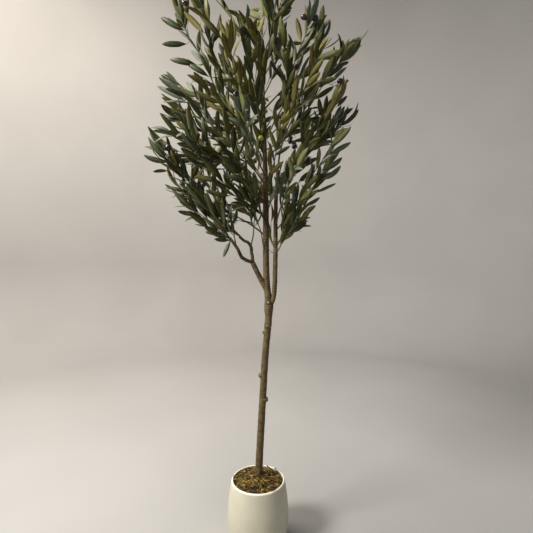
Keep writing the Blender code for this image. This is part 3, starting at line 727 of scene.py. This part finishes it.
def side_radius(height):
    """The pot's outer radius: one curve from the belly up to the rim, and one down to the foot."""
    if height >= BELLY_HEIGHT:
        share = (height - BELLY_HEIGHT) / (POT_HEIGHT - BELLY_HEIGHT)
        return BELLY_RADIUS - (BELLY_RADIUS - RIM_RADIUS) * share ** 2
    share = (BELLY_HEIGHT - height) / BELLY_HEIGHT
    return BELLY_RADIUS - (BELLY_RADIUS - FOOT_RADIUS) * share ** 2


def levels(top, bottom, count):
    return [top + (bottom - top) * i / count for i in range(count + 1)]


def make_pot():
    """The glazed pot, with a rounded lip and foot, and a painted highlight on the lip."""
    round_from = POT_HEIGHT - POT_WALL / 2
    inner = [(side_radius(z) - POT_WALL, z) for z in levels(POT_FLOOR, round_from, SIDE_RINGS // 2)]
    heights = levels(round_from, FOOT_ROUND, SIDE_RINGS)
    outer = [(side_radius(z), z) for z in (round_from, round_from - LIP_HIGHLIGHT_FADE, *heights[1:])]
    turns = [math.pi * i / LIP_STEPS for i in range(LIP_STEPS - 1, 0, -1)]
    lip = [(RIM_RADIUS + POT_WALL / 2 * (math.cos(turn) - 1), round_from + POT_WALL / 2 * math.sin(turn))
           for turn in turns]
    quarter = [math.pi / 2 * i / FOOT_STEPS for i in range(1, FOOT_STEPS + 1)]
    foot = [(FOOT_RADIUS - FOOT_ROUND * (1 - math.cos(turn)), FOOT_ROUND * (1 - math.sin(turn)))
            for turn in quarter]
    shape = spun([(0.0, POT_FLOOR), *inner, *lip, *outer, *foot, (0.0, 0.0)], POT_STEPS)
    # The glaze's mark colour is a painted highlight: the lip is painted lighter because the light falls on it
    # from above.
    glaze = finish("cream matt glaze", (0.530, 0.510, 0.405), (0.560, 0.540, 0.430), (30.0, 0.30, 0.70),
                   (420.0, 0.15, 0.0005), 0.45, mark=(0.90, 0.86, 0.70))
    marks = [float(vert.co.z > round_from - LIP_HIGHLIGHT_FADE / 2) for vert in shape.verts]
    piece_of(shape, "glazed_pot", [glaze], ["pot"], marks)


# Wood wool

def wool_height(x, y):
    """The top of the mound, drawn up a little round the trunk."""
    inward = 1 - min(math.hypot(x, y) / (RIM_RADIUS - POT_WALL), 1.0)
    from_trunk = math.hypot(x - TRUNK_FOOT[0], y - TRUNK_FOOT[1])
    return (WOOL_EDGE_HEIGHT + WOOL_DOME * math.sin(inward * math.pi / 2)
            + WOOL_MOUND * math.exp(-(from_trunk / WOOL_MOUND_SPREAD) ** 2))


def wool_strand(draw, widths, thick, lengths):
    """A shaving, curled on an arc of its own and a little wavy."""
    sweep = math.radians(draw.uniform(*WOOL_SWEEPS))
    radius = draw.uniform(*lengths) / sweep
    rise = draw.uniform(*WOOL_RISES)
    wave = draw.uniform(*WOOL_WAVES)
    width = draw.uniform(*widths)
    shares = [i / (WOOL_POINTS - 1) for i in range(WOOL_POINTS)]
    course = [Vector((radius * (math.cos(sweep * t) - 1), radius * math.sin(sweep * t),
                      rise * t + wave * math.sin(t * 9))) for t in shares]
    return sample_of(tube(course, [width * (0.35 + 0.65 * math.sin(math.pi * t)) for t in shares], 4, thick))


def make_wool(draw):
    """The mound of wood wool: a dark bed, which is painted shade between the shavings, with loose shavings in
    several tones on it, some in painted shade and some with a painted highlight. A shaving that would reach
    past the bed is left out."""
    bed_radius = RIM_RADIUS - POT_WALL - 2 * GAP
    rings = [(bed_radius * i / BED_RINGS, WOOL_EDGE_HEIGHT) for i in range(BED_RINGS + 1)]
    shape = spun([(0.0, FILLING_TOP + GAP), (bed_radius, FILLING_TOP + GAP), *reversed(rings)], BED_STEPS)
    for vert in shape.verts:
        if vert.co.z > (FILLING_TOP + WOOL_EDGE_HEIGHT) / 2:
            uneven = BED_UNEVEN * noise.noise(vert.co * BED_GRAIN)
            vert.co.z = wool_height(vert.co.x, vert.co.y) + uneven - BED_SINK
    # The bed's near-black colour is painted shade, for the dark gaps between the shavings.
    bed = finish("wood wool bed, painted shade", (0.012, 0.006, 0.001), (0.050, 0.027, 0.005), (240.0, 0.35, 0.65),
                 (500.0, 0.8, 0.004), 0.9)
    piece_of(shape, "wood_wool_bed", [bed], ["moss_topping"])
    shares = [common for _, _, common in WOOL_TONES.values()]
    dealt = {tone: [] for tone in WOOL_TONES}
    for count, widths, thick, lengths, furthest in WOOL_KINDS:
        samples = [wool_strand(draw, widths, thick, lengths) for _ in range(WOOL_SAMPLES)]
        for _ in range(count):
            spot = direction_of(draw.uniform(0, 360)) * bed_radius * WOOL_REACH * math.sqrt(draw.random())
            spot.z = wool_height(spot.x, spot.y) + draw.uniform(-WOOL_SINK, furthest)
            lean = Quaternion(direction_of(draw.uniform(0, 360)), draw.uniform(0.0, WOOL_TIP))
            about = Quaternion(UP, draw.uniform(0, math.tau))
            roll = Quaternion((0, 1, 0), draw.uniform(-WOOL_ROLL, WOOL_ROLL))
            place = Matrix.Translation(spot) @ (lean @ about @ roll).to_matrix().to_4x4()
            tone, sample = draw.choices(list(WOOL_TONES), shares)[0], draw.choice(samples)
            if max((place @ Vector(point)).xy.length for point in sample.points) < bed_radius:
                dealt[tone].append((sample, place))
    chips = [sample_of(tube([Vector(point) for point in CHIP_COURSE], CHIP_WIDTHS, 4, CHIP_THICKNESS))
             for _ in range(2)]
    for azimuth in WOOL_ON_RIM:
        spot = direction_of(azimuth) * (RIM_RADIUS - POT_WALL * 0.7) + UP * (POT_HEIGHT + CHIP_LIFT)
        about = Quaternion(UP, math.radians(azimuth + draw.uniform(-60, 20)))
        # The chips on the rim take the dark tone, which is painted shade.
        dealt["dark"].append((draw.choice(chips), Matrix.Translation(spot) @ about.to_matrix().to_4x4()))
    for tone, (dark, light, _) in WOOL_TONES.items():
        strand = finish("shaving, " + tone, dark, light, (160.0, 0.35, 0.65), (700.0, 0.3, 0.0006), 0.62)
        many("wood_wool_" + tone, dealt[tone], [strand])


# Limbs

def swell(name, height):
    """The trunk's thick places: the fork, and the ring where its two halves are joined."""
    if name != "trunk":
        return 0.0
    fork = FORK_SWELL * math.exp(-((height - FORK_HEIGHT) / FORK_SPREAD) ** 2)
    return fork + (JOINT_STAND_OUT if abs(height - JOINT_HEIGHT) < JOINT_LENGTH / 2 else 0.0)


def wrap_stations(length, draw):
    """Places along a limb and how far the wrap stands out there, from 0 in a groove to 1 on a ridge."""
    stations = []
    foot = 0.0
    while foot < length - WRAP_PITCHES[1]:
        pitch, depth = draw.uniform(*WRAP_PITCHES), draw.uniform(0.25, 1.0)
        stations += [(foot + share * pitch, 1 - depth * (1 - height)) for share, height in WRAP_STATIONS]
        foot += pitch
    return stations


def with_joint(stations, joint):
    """The same places with those round the trunk's joint in their stead."""
    low, high = joint + JOINT_STATIONS[0][0], joint + JOINT_STATIONS[-1][0]
    around = [station for station in stations
              if not low - JOINT_ROOM < station[0] < high + JOINT_ROOM]
    return sorted(around + [(joint + above, height) for above, height in JOINT_STATIONS])


def make_limb(name, bark):
    """A limb as a straight ridged pole, spun and then bent along its course, with painted shade in its open
    grooves.
    """
    points, radii = LIMBS[name]
    placed = smooth_course(points, COURSE_STEP)
    bends = [Vector(bend) for bend in LIMB_BENDS.get(name, ((0, 0, 0), (0, 0, 0)))]
    course = [point + at_share(bends, share) for point, share in placed]
    steps = [0.0]
    for start, end in zip(course, course[1:]):
        steps.append(steps[-1] + (end - start).length)
    widths = [at_share(radii, share) + swell(name, point.z) for point, share in placed]
    stations = wrap_stations(steps[-1], random.Random(SEED + len(name)))
    if name == "trunk":
        stations = with_joint(stations, np.interp(JOINT_HEIGHT, [point.z for point in course], steps))
    depth = min(WRAP_DEPTH, radii[0] * WRAP_DEPTH_SHARE)
    profile = [(np.interp(along, steps, widths) - depth * (1 - height), along) for along, height in stations]
    shape = spun([(0.0, 0.0), *profile[1:], (0.0, profile[-1][1])], BARK_SIDES)
    ways = course_frames(course)
    columns = [[way[axis] for way in ways] for axis in (1, 2)]
    alongs, heights = zip(*stations)
    dark_from, dark_to = DARK_STRETCHES.get(name, (2.0, 2.0))
    marks = []
    for vert in shape.verts:
        radius = math.hypot(vert.co.x, vert.co.y)
        hollow = 1 - np.interp(vert.co.z, alongs, heights)
        spot = Vector((vert.co.x * 90, vert.co.y * 90, vert.co.z * 60))
        opened = min(1.0, max(0.0, 0.85 + 1.4 * noise.noise(spot * 0.5)))
        uneven = BARK_UNEVEN * noise.noise(spot) + depth * hollow * (1 - opened)
        grow = 1 + uneven / radius if radius > 0.001 else 1.0
        along = vert.co.z + WRAP_SLANT * vert.co.x
        share = np.interp(along, steps, range(len(steps))) / (len(steps) - 1)
        across, square = (at_share(column, share) for column in columns)
        vert.co = at_share(course, share) + (across * vert.co.x + square * vert.co.y) * grow
        # The mark is painted shade in the open grooves, and 0.7 along the dark stretches.
        marks.append(max(min(1.0, hollow) * opened, 0.7 * (dark_from < share < dark_to)))
    piece_of(shape, name + "_bark", [bark], [name], marks)


def make_knots(bark, cut):
    """The stubs of cut branches on the trunk, with a pale cut face."""
    trunk = [point for point, _ in smooth_course(LIMBS["trunk"][0], COURSE_STEP)]
    shapes = []
    for height, azimuth, radius, stand_out in KNOTS:
        centre = min(trunk, key=lambda point: abs(point.z - height))
        out = (direction_of(azimuth) + UP * KNOT_RISE).normalized()
        length = KNOT_BURIED + stand_out
        shape = spun([(radius * wide, length * high) for wide, high in KNOT_OUTLINE], KNOT_SIDES)
        for face in shape.faces:
            middle = face.calc_center_median()
            if middle.z > length * 0.95 and middle.xy.length < radius * 0.6:
                face.material_index = 1
        turned = UP.rotation_difference(out).to_matrix().to_4x4()
        shapes.append((sample_of(shape), Matrix.Translation(Vector((centre.x, centre.y, height))) @ turned))
    many("trunk_knots", shapes, [bark, cut])


# Spaces

def off_course(point, course):
    """The distance from a point to a course."""
    shortest = math.inf
    for start, end in zip(course, course[1:]):
        nearest, share = intersect_point_line(point, start, end)
        nearest = start if share < 0 else end if share > 1 else nearest
        shortest = min(shortest, (point - nearest).length)
    return shortest


def reach(height, azimuth):
    """How far the leaves reach from the crown's axis at a height, on an ellipse of its side and its depth."""
    if height >= CROWN[-1][0] or height <= CROWN[0][0]:
        return 0.0
    low, high = next((a, b) for a, b in zip(CROWN, CROWN[1:]) if a[0] <= height <= b[0])
    share = (height - low[0]) / (high[0] - low[0])
    left, right, deep = (low[i] + (high[i] - low[i]) * share for i in (1, 2, 3))
    side = right if math.cos(azimuth) > 0 else left
    return 1 / math.hypot(math.cos(azimuth) / side, math.sin(azimuth) / deep)


def in_crown(point):
    east, north = point.x - CROWN_AXIS[0], point.y - CROWN_AXIS[1]
    return math.hypot(east, north) <= reach(point.z, math.atan2(north, east))


def clear_of_limbs(point, limbs, room):
    for limb in limbs:
        for start, end, radius in zip(limb.course, limb.course[1:], limb.radii):
            if abs(point.z - start.z) < 2 * RING_SPACING and off_course(point, (start, end)) < radius + room:
                return False
    return True


def in_space(point, spray, sprays, limbs):
    """Whether a point lies in the crown, nearer to its own stem than to any other, and off every limb."""
    if not in_crown(point):
        return False
    own = off_course(point, spray.stem) + SPACE_MARGIN
    if any(off_course(point, other.stem) < own for other in sprays if other is not spray):
        return False
    return clear_of_limbs(point, limbs.values(), LIMB_ROOM)


# Sprays

def direction_of(azimuth):
    return Vector((math.cos(math.radians(azimuth)), math.sin(math.radians(azimuth)), 0.0))


def stem_course(root, lead, azimuth, tip_height):
    """A stem from its root to just inside the crown's outline, on one curve that leads off the given way."""
    away = direction_of(azimuth)
    out = reach(tip_height, math.radians(azimuth)) - SOURCE_LEAF_REACH
    tip = Vector((*CROWN_AXIS, 0.0)) + away * max(out, 0.0) + UP * tip_height
    length = (tip - root).length
    bend = root + lead.normalized() * length * 0.5 if lead else (root + tip) / 2 + UP * length * STEM_ARCH
    shares = [i / STEM_RINGS for i in range(STEM_RINGS + 1)]
    return [root * (1 - t) ** 2 + bend * 2 * t * (1 - t) + tip * t ** 2 for t in shares]


def at_height(limb, height):
    """The point on a limb's axis at a height."""
    low, high = next((a, b) for a, b in zip(limb.course, limb.course[1:]) if a.z <= height <= b.z)
    return low.lerp(high, (height - low.z) / (high.z - low.z))


def plan_sprays(limbs):
    sprays = []
    for limb, azimuth, tip_height in TIP_SPRAYS:
        course = limbs[limb].course
        lead = course[-1] - course[-2]
        stem = stem_course(course[-1] - lead.normalized() * STEM_RADIUS, lead, azimuth, tip_height)
        sprays.append(Spray("foliage_on_" + limb, limb, stem, (stem[-1] - stem[0]).length))
    for i in range(SPIRAL_SPRAYS):
        share = i / (SPIRAL_SPRAYS - 1)
        height = SPIRAL_FOOT + (SPIRAL_HEAD - SPIRAL_FOOT) * share
        azimuth = SPIRAL_START + GOLDEN_ANGLE * i
        rise = RISE_AT_FOOT + (RISE_AT_HEAD - RISE_AT_FOOT) * min(1.0, share * RISE_GROWTH)
        carrier = "trunk"
        root = at_height(limbs["trunk"], height)
        if height < limbs["right_stem"].course[-1].z - RING_SPACING:
            other = at_height(limbs["right_stem"], height)
            if direction_of(azimuth).angle(other - root) < math.radians(SECOND_STEM_ANGLE):
                carrier, root = "right_stem", other
        others = [limb for name, limb in limbs.items() if name != carrier]
        stem = stem_course(root, None, azimuth, height + rise)
        while not all(clear_of_limbs(root.lerp(stem[2], t / 8), others, 3 * STEM_RADIUS) for t in range(9)):
            azimuth += DODGE_ANGLE
            stem = stem_course(root, None, azimuth, height + rise)
        sprays.append(Spray(f"foliage_{i + 1:02d}", carrier, stem, (stem[-1] - stem[0]).length))
    return sprays


def side_direction(along, turn):
    """A direction square to another one, turned about it."""
    start = along.cross(UP).normalized()
    return Quaternion(along, math.radians(turn)) @ start


def twig_course(spray, place, turn):
    """A side twig from its place on the stem, bending up a little towards its tip."""
    root = at_share(spray.stem, place)
    along = (at_share(spray.stem, place + 0.05) - at_share(spray.stem, place - 0.05)).normalized()
    splay = math.radians(TWIG_SPLAY)
    way = (along * math.cos(splay) + side_direction(along, turn) * math.sin(splay)).normalized()
    length = spray.length * TWIG_SHARE * (1.2 - place)
    shares = [i / TWIG_RINGS for i in range(TWIG_RINGS + 1)]
    return [root + way * length * t + UP * length * TWIG_LIFT * t ** 2 for t in shares]


def course_length(course):
    return sum((b - a).length for a, b in zip(course, course[1:]))


def blade(bow, curl, fold, twist):
    """A leaf one long and one wide: a closed thin grid, narrowed to its outline, folded, bowed
    and twisted."""
    shape = bmesh.new()
    bmesh.ops.create_grid(shape, x_segments=2, y_segments=LEAF_ROWS, size=0.5)
    bmesh.ops.solidify(shape, geom=shape.faces[:], thickness=LEAF_THICKNESS)
    bmesh.ops.recalc_face_normals(shape, faces=shape.faces)
    for face in shape.faces:
        face.smooth = abs(face.normal.z) > 0.5
        face.material_index = int(face.normal.z < -0.5)
    ribs = [1 - abs(vert.co.x * 2) for vert in shape.verts]
    for vert in shape.verts:
        across, along, thick = vert.co.x * 2, (1 + math.sin(math.pi * vert.co.y)) / 2, vert.co.z
        side = 1 - LEAF_MIDDLE if along > LEAF_MIDDLE else LEAF_MIDDLE
        from_middle = abs(along - LEAF_MIDDLE) / side
        swelling = 0.5 * max(1 - from_middle ** LEAF_ROUNDNESS, 0.03) ** 0.7
        width = swelling * min(1, along / LEAF_TAPER + 0.05) ** 0.5
        rib = bow * 4 * along * (1 - along) + curl * along ** 2
        turned = math.radians(twist) * (along - 0.3)
        edge = across * width * LEAF_WIDTHS[1] / LEAF_LENGTHS[1]
        vert.co = (across * width * math.cos(turned), along,
                   rib + fold * abs(edge) + thick + edge * math.sin(turned))
    return sample_of(shape, np.array(ribs))


def grown_on(course, extra):
    """The course, carried on at its end by a few points that keep bending up."""
    step = (course[-1] - course[-2]).normalized()
    longer = list(course)
    count = max(1, round(extra / GROWTH_STEP))
    for _ in range(count):
        step = (step + UP * GROWTH_LIFT).normalized()
        longer.append(longer[-1] + step * extra / count)
    return longer


def tone_at(point, draw):
    """A tone for a twig's leaves: more grey at the left, more olive high and to the right."""
    high = min(max((point.z - 1.05) / 0.55, 0.0), 1.0)
    right = min(max((point.x + 0.20) / 0.45, 0.0), 1.0)
    shares = (0.55 - 0.15 * high, 0.20 + 0.20 * (1 - right), 0.10 + 0.22 * high * (0.4 + 0.6 * right))
    return draw.choices(list(LEAF_TONES), shares)[0]


def in_reach(point):
    """Whether a point lies in the frame's box, or little past it."""
    return all(low - OVER_REACH < value < high + OVER_REACH for low, value, high in zip(frame_box[0], point,
                                                                                       frame_box[1]))


def in_sky(point):
    """Whether a point shows where the photograph has sky."""
    x, y = seen_from(point)
    return any(math.hypot(x - gap_x, y - gap_y) < radius for gap_x, gap_y, radius in SKY_GAPS)


class Crown:
    """What grows: the tubes of the twigs, and the leaves of each tone."""

    def __init__(self, limbs, sprays):
        self.limbs, self.sprays = limbs, sprays
        self.blades = [blade(*values) for values in BLADES]
        self.twigs, self.courses = [], []
        self.shoots = []
        self.leaves = {tone: [] for tone in LEAF_TONES}

    def add_twig(self, course, radius, tip_radius, old):
        """A twig that is brown at its foot, as far as it is old, and green towards its tip."""
        count = len(course) - 1
        radii = [radius + (tip_radius - radius) * i / count for i in range(count + 1)]
        shape = tube(course, radii, TWIG_SIDES)
        marks = np.repeat([old * (1 - i / count) for i in range(count + 1)], TWIG_SIDES)
        self.twigs.append((sample_of(shape, marks), Matrix()))
        self.courses.append(course)

    def has_room(self, point, inside):
        return inside(point) and not in_sky(point) and clear_of_limbs(point, self.limbs.values(), LIMB_ROOM)

    def add_leaf(self, root, way, normal, tone, draw, inside):
        size = draw.random()
        length = LEAF_LENGTHS[0] + (LEAF_LENGTHS[1] - LEAF_LENGTHS[0]) * size
        width = LEAF_WIDTHS[0] + (LEAF_WIDTHS[1] - LEAF_WIDTHS[0]) * (0.5 * size + 0.5 * draw.random())
        normal = Quaternion(way, math.radians(draw.uniform(-LEAF_ROLL, LEAF_ROLL))) @ normal
        if normal.dot(Vector((root.x, root.y, FACE_OUT_RISE))) < 0 and draw.random() < FACE_OUT:
            normal.negate()
        shape = draw.choice(self.blades)
        for share in SMALLER_LEAVES:
            if all(self.has_room(root + way * length * share * t, inside) for t in LEAF_TESTS):
                self.place_leaf(shape, root, way, normal, width * share, length * share, tone)
                break

    def place_leaf(self, shape, root, way, normal, width, length, tone):
        turned = Matrix((way.cross(normal).normalized() * width, way * length, normal * length)).transposed()
        self.leaves[tone].append((shape, Matrix.Translation(root) @ turned.to_4x4()))

    def add_leaves(self, course, first, turn, tone, draw, inside=in_crown, step=LEAF_STEP):
        """Leaves in pairs that turn from one pair to the next, and two at the twig's tip."""
        length = course_length(course)
        places = []
        while first < length - step / 3:
            places += [(first / length, turn, draw.uniform(*LEAF_SPLAYS)),
                       (first / length + PAIR_STEP, turn + 180, draw.uniform(*LEAF_SPLAYS))]
            turn += draw.uniform(*PAIR_TURNS)
            first += step * draw.uniform(0.85, 1.15)
        places += [(1.0, turn, END_LEAF_SPLAY), (0.985, turn + 90, draw.uniform(*LEAF_TIP_SPLAYS))]
        for place, about, splay in places:
            root = at_share(course, place)
            along = (at_share(course, place + 0.02) - at_share(course, place - 0.02)).normalized()
            splay = math.radians(splay)
            way = along * math.cos(splay) + side_direction(along, about) * math.sin(splay) + UP * LEAF_LIFT
            way.normalize()
            normal = (along - way * along.dot(way)).normalized()
            self.add_leaf(root, way, normal, tone, draw, inside)

    def grow_spray(self, number, spray):
        """A stem by the source's rule, with its side twigs, finer twigs between them, and leaves."""
        draw = random.Random(SEED + number)
        turn = draw.uniform(0, 360)
        stem = grown_on([point for point, _ in smooth_course(spray.stem, STEM_STEP)], STEM_GROWTH)
        self.add_twig(stem, STEM_RADIUS, STEM_TIP_RADIUS, 1.0)
        step = HIGH_LEAF_STEP if stem[-1].z > TOP_FROM else LEAF_STEP
        self.add_leaves(stem, BARE_STEM, draw.uniform(0, 180), tone_at(stem[-1], draw), draw, step=step)
        for places, extra, ceiling in ((TWIG_PLACES, 0.0, math.inf),
                                       (FINE_TWIG_PLACES, FINE_TWIG_TURN, FINE_TWIG_CEILING)):
            about = turn + extra
            for place in places:
                about += GOLDEN_ANGLE
                course = grown_on(twig_course(spray, place, about), TWIG_GROWTH)
                while len(course) > 3 and not (in_space(course[-1], spray, self.sprays, self.limbs) and
                                               self.leaf_fits(course)):
                    course.pop()
                thin = max(THIN_REST, THIN_FRONT * (course[-1].y < FRONT_BEFORE),
                           THIN_TOP * (course[0].z > TOP_FROM))
                if len(course) > 3 and course[0].z < ceiling and draw.random() > thin:
                    self.add_twig(course, TWIG_RADIUS, TWIG_TIP_RADIUS, TWIG_AGE)
                    self.add_leaves(course, BARE_FOOT, draw.uniform(0, 180), tone_at(course[-1], draw), draw)

    def leaf_fits(self, course):
        """Whether a leaf at the course's tip has room, so that the twig doesn't end bare."""
        tip = course[-1] + (course[-1] - course[-2]).normalized() * LEAF_LENGTHS[1]
        return self.has_room(tip, in_crown)

    def grow_shoots(self):
        """The shoots that show in the photograph, each from its limb through the places given."""
        for number, (limb, height, pixels, depth, bare, tone) in enumerate(SHOOTS):
            draw = random.Random(SEED + number)
            root = at_height(self.limbs[limb], height)
            shares = [(i + 1) / len(pixels) for i in range(len(pixels))]
            passed = [seen_at(x, y, root.y + (depth - root.y) * share)
                      for (x, y), share in zip(pixels, shares)]
            course = [point for point, _ in smooth_course([root, *passed], SHOOT_STEP)]
            self.add_twig(course, SHOOT_RADIUS, SHOOT_TIP_RADIUS, TWIG_AGE)
            self.shoots.append(course)
            self.add_leaves(course, bare, draw.uniform(0, 180), tone, draw, in_reach, SHOOT_LEAF_STEP)
        for height, end in STRANDS:
            root = at_height(self.limbs["right_stem"], height)
            self.add_twig([root, seen_at(*end, root.y)], TWIG_RADIUS, TWIG_TIP_RADIUS, TWIG_AGE)

    def place_seen_leaves(self):
        """The leaves that stand out in the photograph, each on the shoot that passes nearest to its foot."""
        draw = random.Random(SEED)
        points = [point for course in self.shoots for point in course]
        for foot, tip, tone, turn in LEAVES_SEEN:
            carrier = min(points, key=lambda point: math.dist(seen_from(point), foot))
            root = seen_at(*foot, carrier.y)
            if (root - carrier).length > SHOOT_RADIUS:
                self.add_twig([carrier, root], *STALK_RADII, 0.0)
            end = seen_at(*tip, root.y + draw.uniform(*SEEN_LEAF_LEAN))
            self.face_front(root, end, turn, tone, draw.choice(self.blades))

    def face_front(self, root, tip, turn, tone, shape):
        """A leaf from its foot to its tip, with its upper side to the front and then turned that far."""
        way = (tip - root).normalized()
        front = (FRONT - way * FRONT.dot(way)).normalized()
        length = (tip - root).length
        width = min(max(length * LEAF_SHAPE, LEAF_WIDTHS[0]), LEAF_WIDTHS[1])
        self.place_leaf(shape, root, way, Quaternion(way, math.radians(turn)) @ front, width, length, tone)

    def hang_leaf(self):
        """The leaf that hangs from the outer branch, on a short stalk."""
        foot, tip, depth = HANGING_LEAF
        limb = self.limbs["left_outer_branch"].course
        root = seen_at(*foot, depth)
        self.add_twig([min(limb, key=lambda point: (point - root).length), root], *HANGING_STALK_RADII, 0.0)
        self.face_front(root, seen_at(*tip, depth - 0.006), 10.0, "dark", self.blades[0])


# Olives

def seen_at(x, y, depth):
    """The point that shows at a pixel of the photograph, at a place in depth."""
    scale = (depth - CAMERA_PLACE.y) / FOCAL_PIXELS
    return Vector((CAMERA_PLACE.x + (x - PHOTO_SIDE / 2) * scale, depth,
                   CAMERA_PLACE.z - (y - PHOTO_SIDE / 2) * scale))


def seen_from(point):
    """The pixel of the photograph where a point shows."""
    scale = (point.y - CAMERA_PLACE.y) / FOCAL_PIXELS
    return (PHOTO_SIDE / 2 + (point.x - CAMERA_PLACE.x) / scale,
            PHOTO_SIDE / 2 - (point.z - CAMERA_PLACE.z) / scale)


def olive():
    shape = bmesh.new()
    bmesh.ops.create_uvsphere(shape, u_segments=12, v_segments=8, radius=1.0)
    for vert in shape.verts:
        vert.co.x *= OLIVE_RADIUS * (1 - 0.10 * vert.co.z)
        vert.co.y *= OLIVE_RADIUS * (1 - 0.10 * vert.co.z)
        vert.co.z *= OLIVE_LENGTH / 2
    for face in shape.faces:
        face.smooth = True
    return sample_of(shape)


def make_olives(crown, draw):
    """Olives on short stalks: those that show in the photograph, each on the nearest twig in front, and
    a few more all round."""
    fruit = olive()
    hung = {tone: [] for tone in OLIVE_TONES}
    roots = [at_share(course, share) for course in crown.courses for share in OLIVE_PLACES]
    wanted = []
    for x, y, tone in OLIVES_SEEN:
        best = min((root for root in roots if root.y < 0.06),
                   key=lambda root: (seen_at(x, y, root.y) - root).length + 0.12 * (root.y + 0.35))
        wanted.append((best, seen_at(x, y, best.y - 0.008), tone))
    for i in range(OLIVES_UNSEEN):
        root = draw.choice([root for root in roots if root.y > 0.03 and root.z > 1.08])
        wanted.append((root, root + direction_of(draw.uniform(0, 360)) * OLIVE_OUT - UP * OLIVE_DOWN,
                       draw.choice(list(OLIVE_TONES))))
    for root, centre, tone in wanted:
        lean = (root - centre).normalized()
        turned = UP.rotation_difference(lean).to_matrix().to_4x4()
        hung[tone].append((fruit, Matrix.Translation(centre) @ turned))
        top = centre + lean * OLIVE_LENGTH * 0.46
        middle = (top + root) / 2 + UP * 0.004
        stalk = [point for point, _ in smooth_course((top, middle, root), 0.008)]
        crown.twigs.append((sample_of(tube(stalk, [OLIVE_STALK_RADIUS] * len(stalk), 5)), Matrix()))
    for tone, (dark, light) in OLIVE_TONES.items():
        skin = finish("olive skin, " + tone, dark, light, (110.0, 0.35, 0.70), (900.0, 0.1, 0.0003), 0.22,
                      Coat_Weight=0.4)
        many("olives_" + tone, hung[tone], [skin])


def make_crown(limbs):
    sprays = plan_sprays(limbs)
    crown = Crown(limbs, sprays)
    for number, spray in enumerate(sprays):
        crown.grow_spray(number, spray)
    crown.grow_shoots()
    crown.place_seen_leaves()
    crown.hang_leaf()
    make_olives(crown, random.Random(SEED))
    green = finish("twig", (0.055, 0.075, 0.022), (0.085, 0.105, 0.035), (120.0, 0.35, 0.65),
                   (600.0, 0.3, 0.0008), 0.6, mark=(0.110, 0.075, 0.035))
    nodes = sorted(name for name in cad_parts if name.startswith("foliage"))
    many("twigs", crown.twigs, [green], nodes)
    for tone, (dark, light, rib, under, light_under) in LEAF_TONES.items():
        upper = finish("leaf, " + tone, dark, light, (30.0, 0.35, 0.65), (260.0, 0.25, 0.0008), 0.48,
                       mark=rib, mark_from=RIB_FROM, Specular_IOR_Level=0.35)
        lower = finish("leaf underside, " + tone, under, light_under, (30.0, 0.35, 0.65),
                       (260.0, 0.25, 0.0008), 0.65, mark=rib, mark_from=RIB_FROM, Specular_IOR_Level=0.25)
        many("leaves_" + tone, crown.leaves[tone], [upper, lower])


# Studio

def make_stage():
    """A pale floor that curves up into a wall all round."""
    turns = [math.pi / 2 * i / COVE_STEPS for i in range(COVE_STEPS + 1)]
    cove = [(FLOOR_RADIUS + COVE_RADIUS * math.sin(turn), COVE_RADIUS * (1 - math.cos(turn)))
            for turn in turns]
    wall_top = (FLOOR_RADIUS + COVE_RADIUS, WALL_HEIGHT)
    mesh = mesh_of(swept([(0.0, 0.0), *cove, wall_top], STAGE_STEPS), "floor")
    mesh.materials.append(finish("painted floor", (0.375, 0.372, 0.370), (0.395, 0.392, 0.390),
                                 (1.5, 0.3, 0.7), (60.0, 0.05, 0.001), 0.85))
    floor = bpy.data.objects.new("floor", mesh)
    bpy.context.scene.collection.objects.link(floor)


def make_light(name, place, target, size, power, colour):
    light = bpy.data.lights.new(name, "AREA")
    light.shape = "DISK"
    light.size = size
    light.energy = power
    light.color = colour
    lamp = bpy.data.objects.new(name, light)
    lamp.location = place
    lamp.visible_camera = False
    lamp.rotation_euler = (Vector(target) - Vector(place)).to_track_quat("-Z", "Y").to_euler()
    bpy.context.scene.collection.objects.link(lamp)


def make_studio():
    make_stage()
    for values in LIGHTS:
        make_light(*values)
    world = bpy.data.worlds.new("studio")
    world.use_nodes = True
    background = world.node_tree.nodes["Background"]
    background.inputs["Color"].default_value = WORLD_COLOUR
    background.inputs["Strength"].default_value = WORLD_STRENGTH
    bpy.context.scene.world = world
    bpy.context.scene.view_settings.view_transform = "Standard"
    camera = bpy.data.cameras.new("camera")
    camera.lens = CAMERA_LENS
    camera.sensor_width = SENSOR_WIDTH
    holder = bpy.data.objects.new("camera", camera)
    holder.location = CAMERA_PLACE
    holder.rotation_euler = (math.pi / 2, 0.0, 0.0)
    bpy.context.scene.collection.objects.link(holder)
    bpy.context.scene.camera = holder


def main():
    make_pot()
    cast = finish("cast filling", (0.25, 0.24, 0.22), (0.34, 0.32, 0.29), (90.0, 0.35, 0.65),
                  (300.0, 0.6, 0.002), 0.92)
    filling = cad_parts["pot_filling"]
    filling.data.materials.clear()
    filling.data.materials.append(cast)
    make_wool(random.Random(SEED))
    # The bark's mark colour is painted shade in the wrap's open grooves; it is also laid along the dark
    # stretches.
    bark = finish("wrapped bark", (0.082, 0.053, 0.017), (0.160, 0.108, 0.037), (75.0, 0.35, 0.65),
                  (380.0, 0.5, 0.0014), 0.62, mark=(0.010, 0.006, 0.002))
    cut = finish("cut wood", (0.30, 0.22, 0.13), (0.42, 0.33, 0.21), (180.0, 0.35, 0.65),
                 (500.0, 0.4, 0.001), 0.8)
    limbs = {}
    for name, (points, radii) in LIMBS.items():
        make_limb(name, bark)
        placed = smooth_course(points, RING_SPACING)
        limbs[name] = Limb([point for point, _ in placed], [at_share(radii, share) for _, share in placed])
    make_knots(bark, cut)
    make_crown(limbs)
    make_studio()


main()
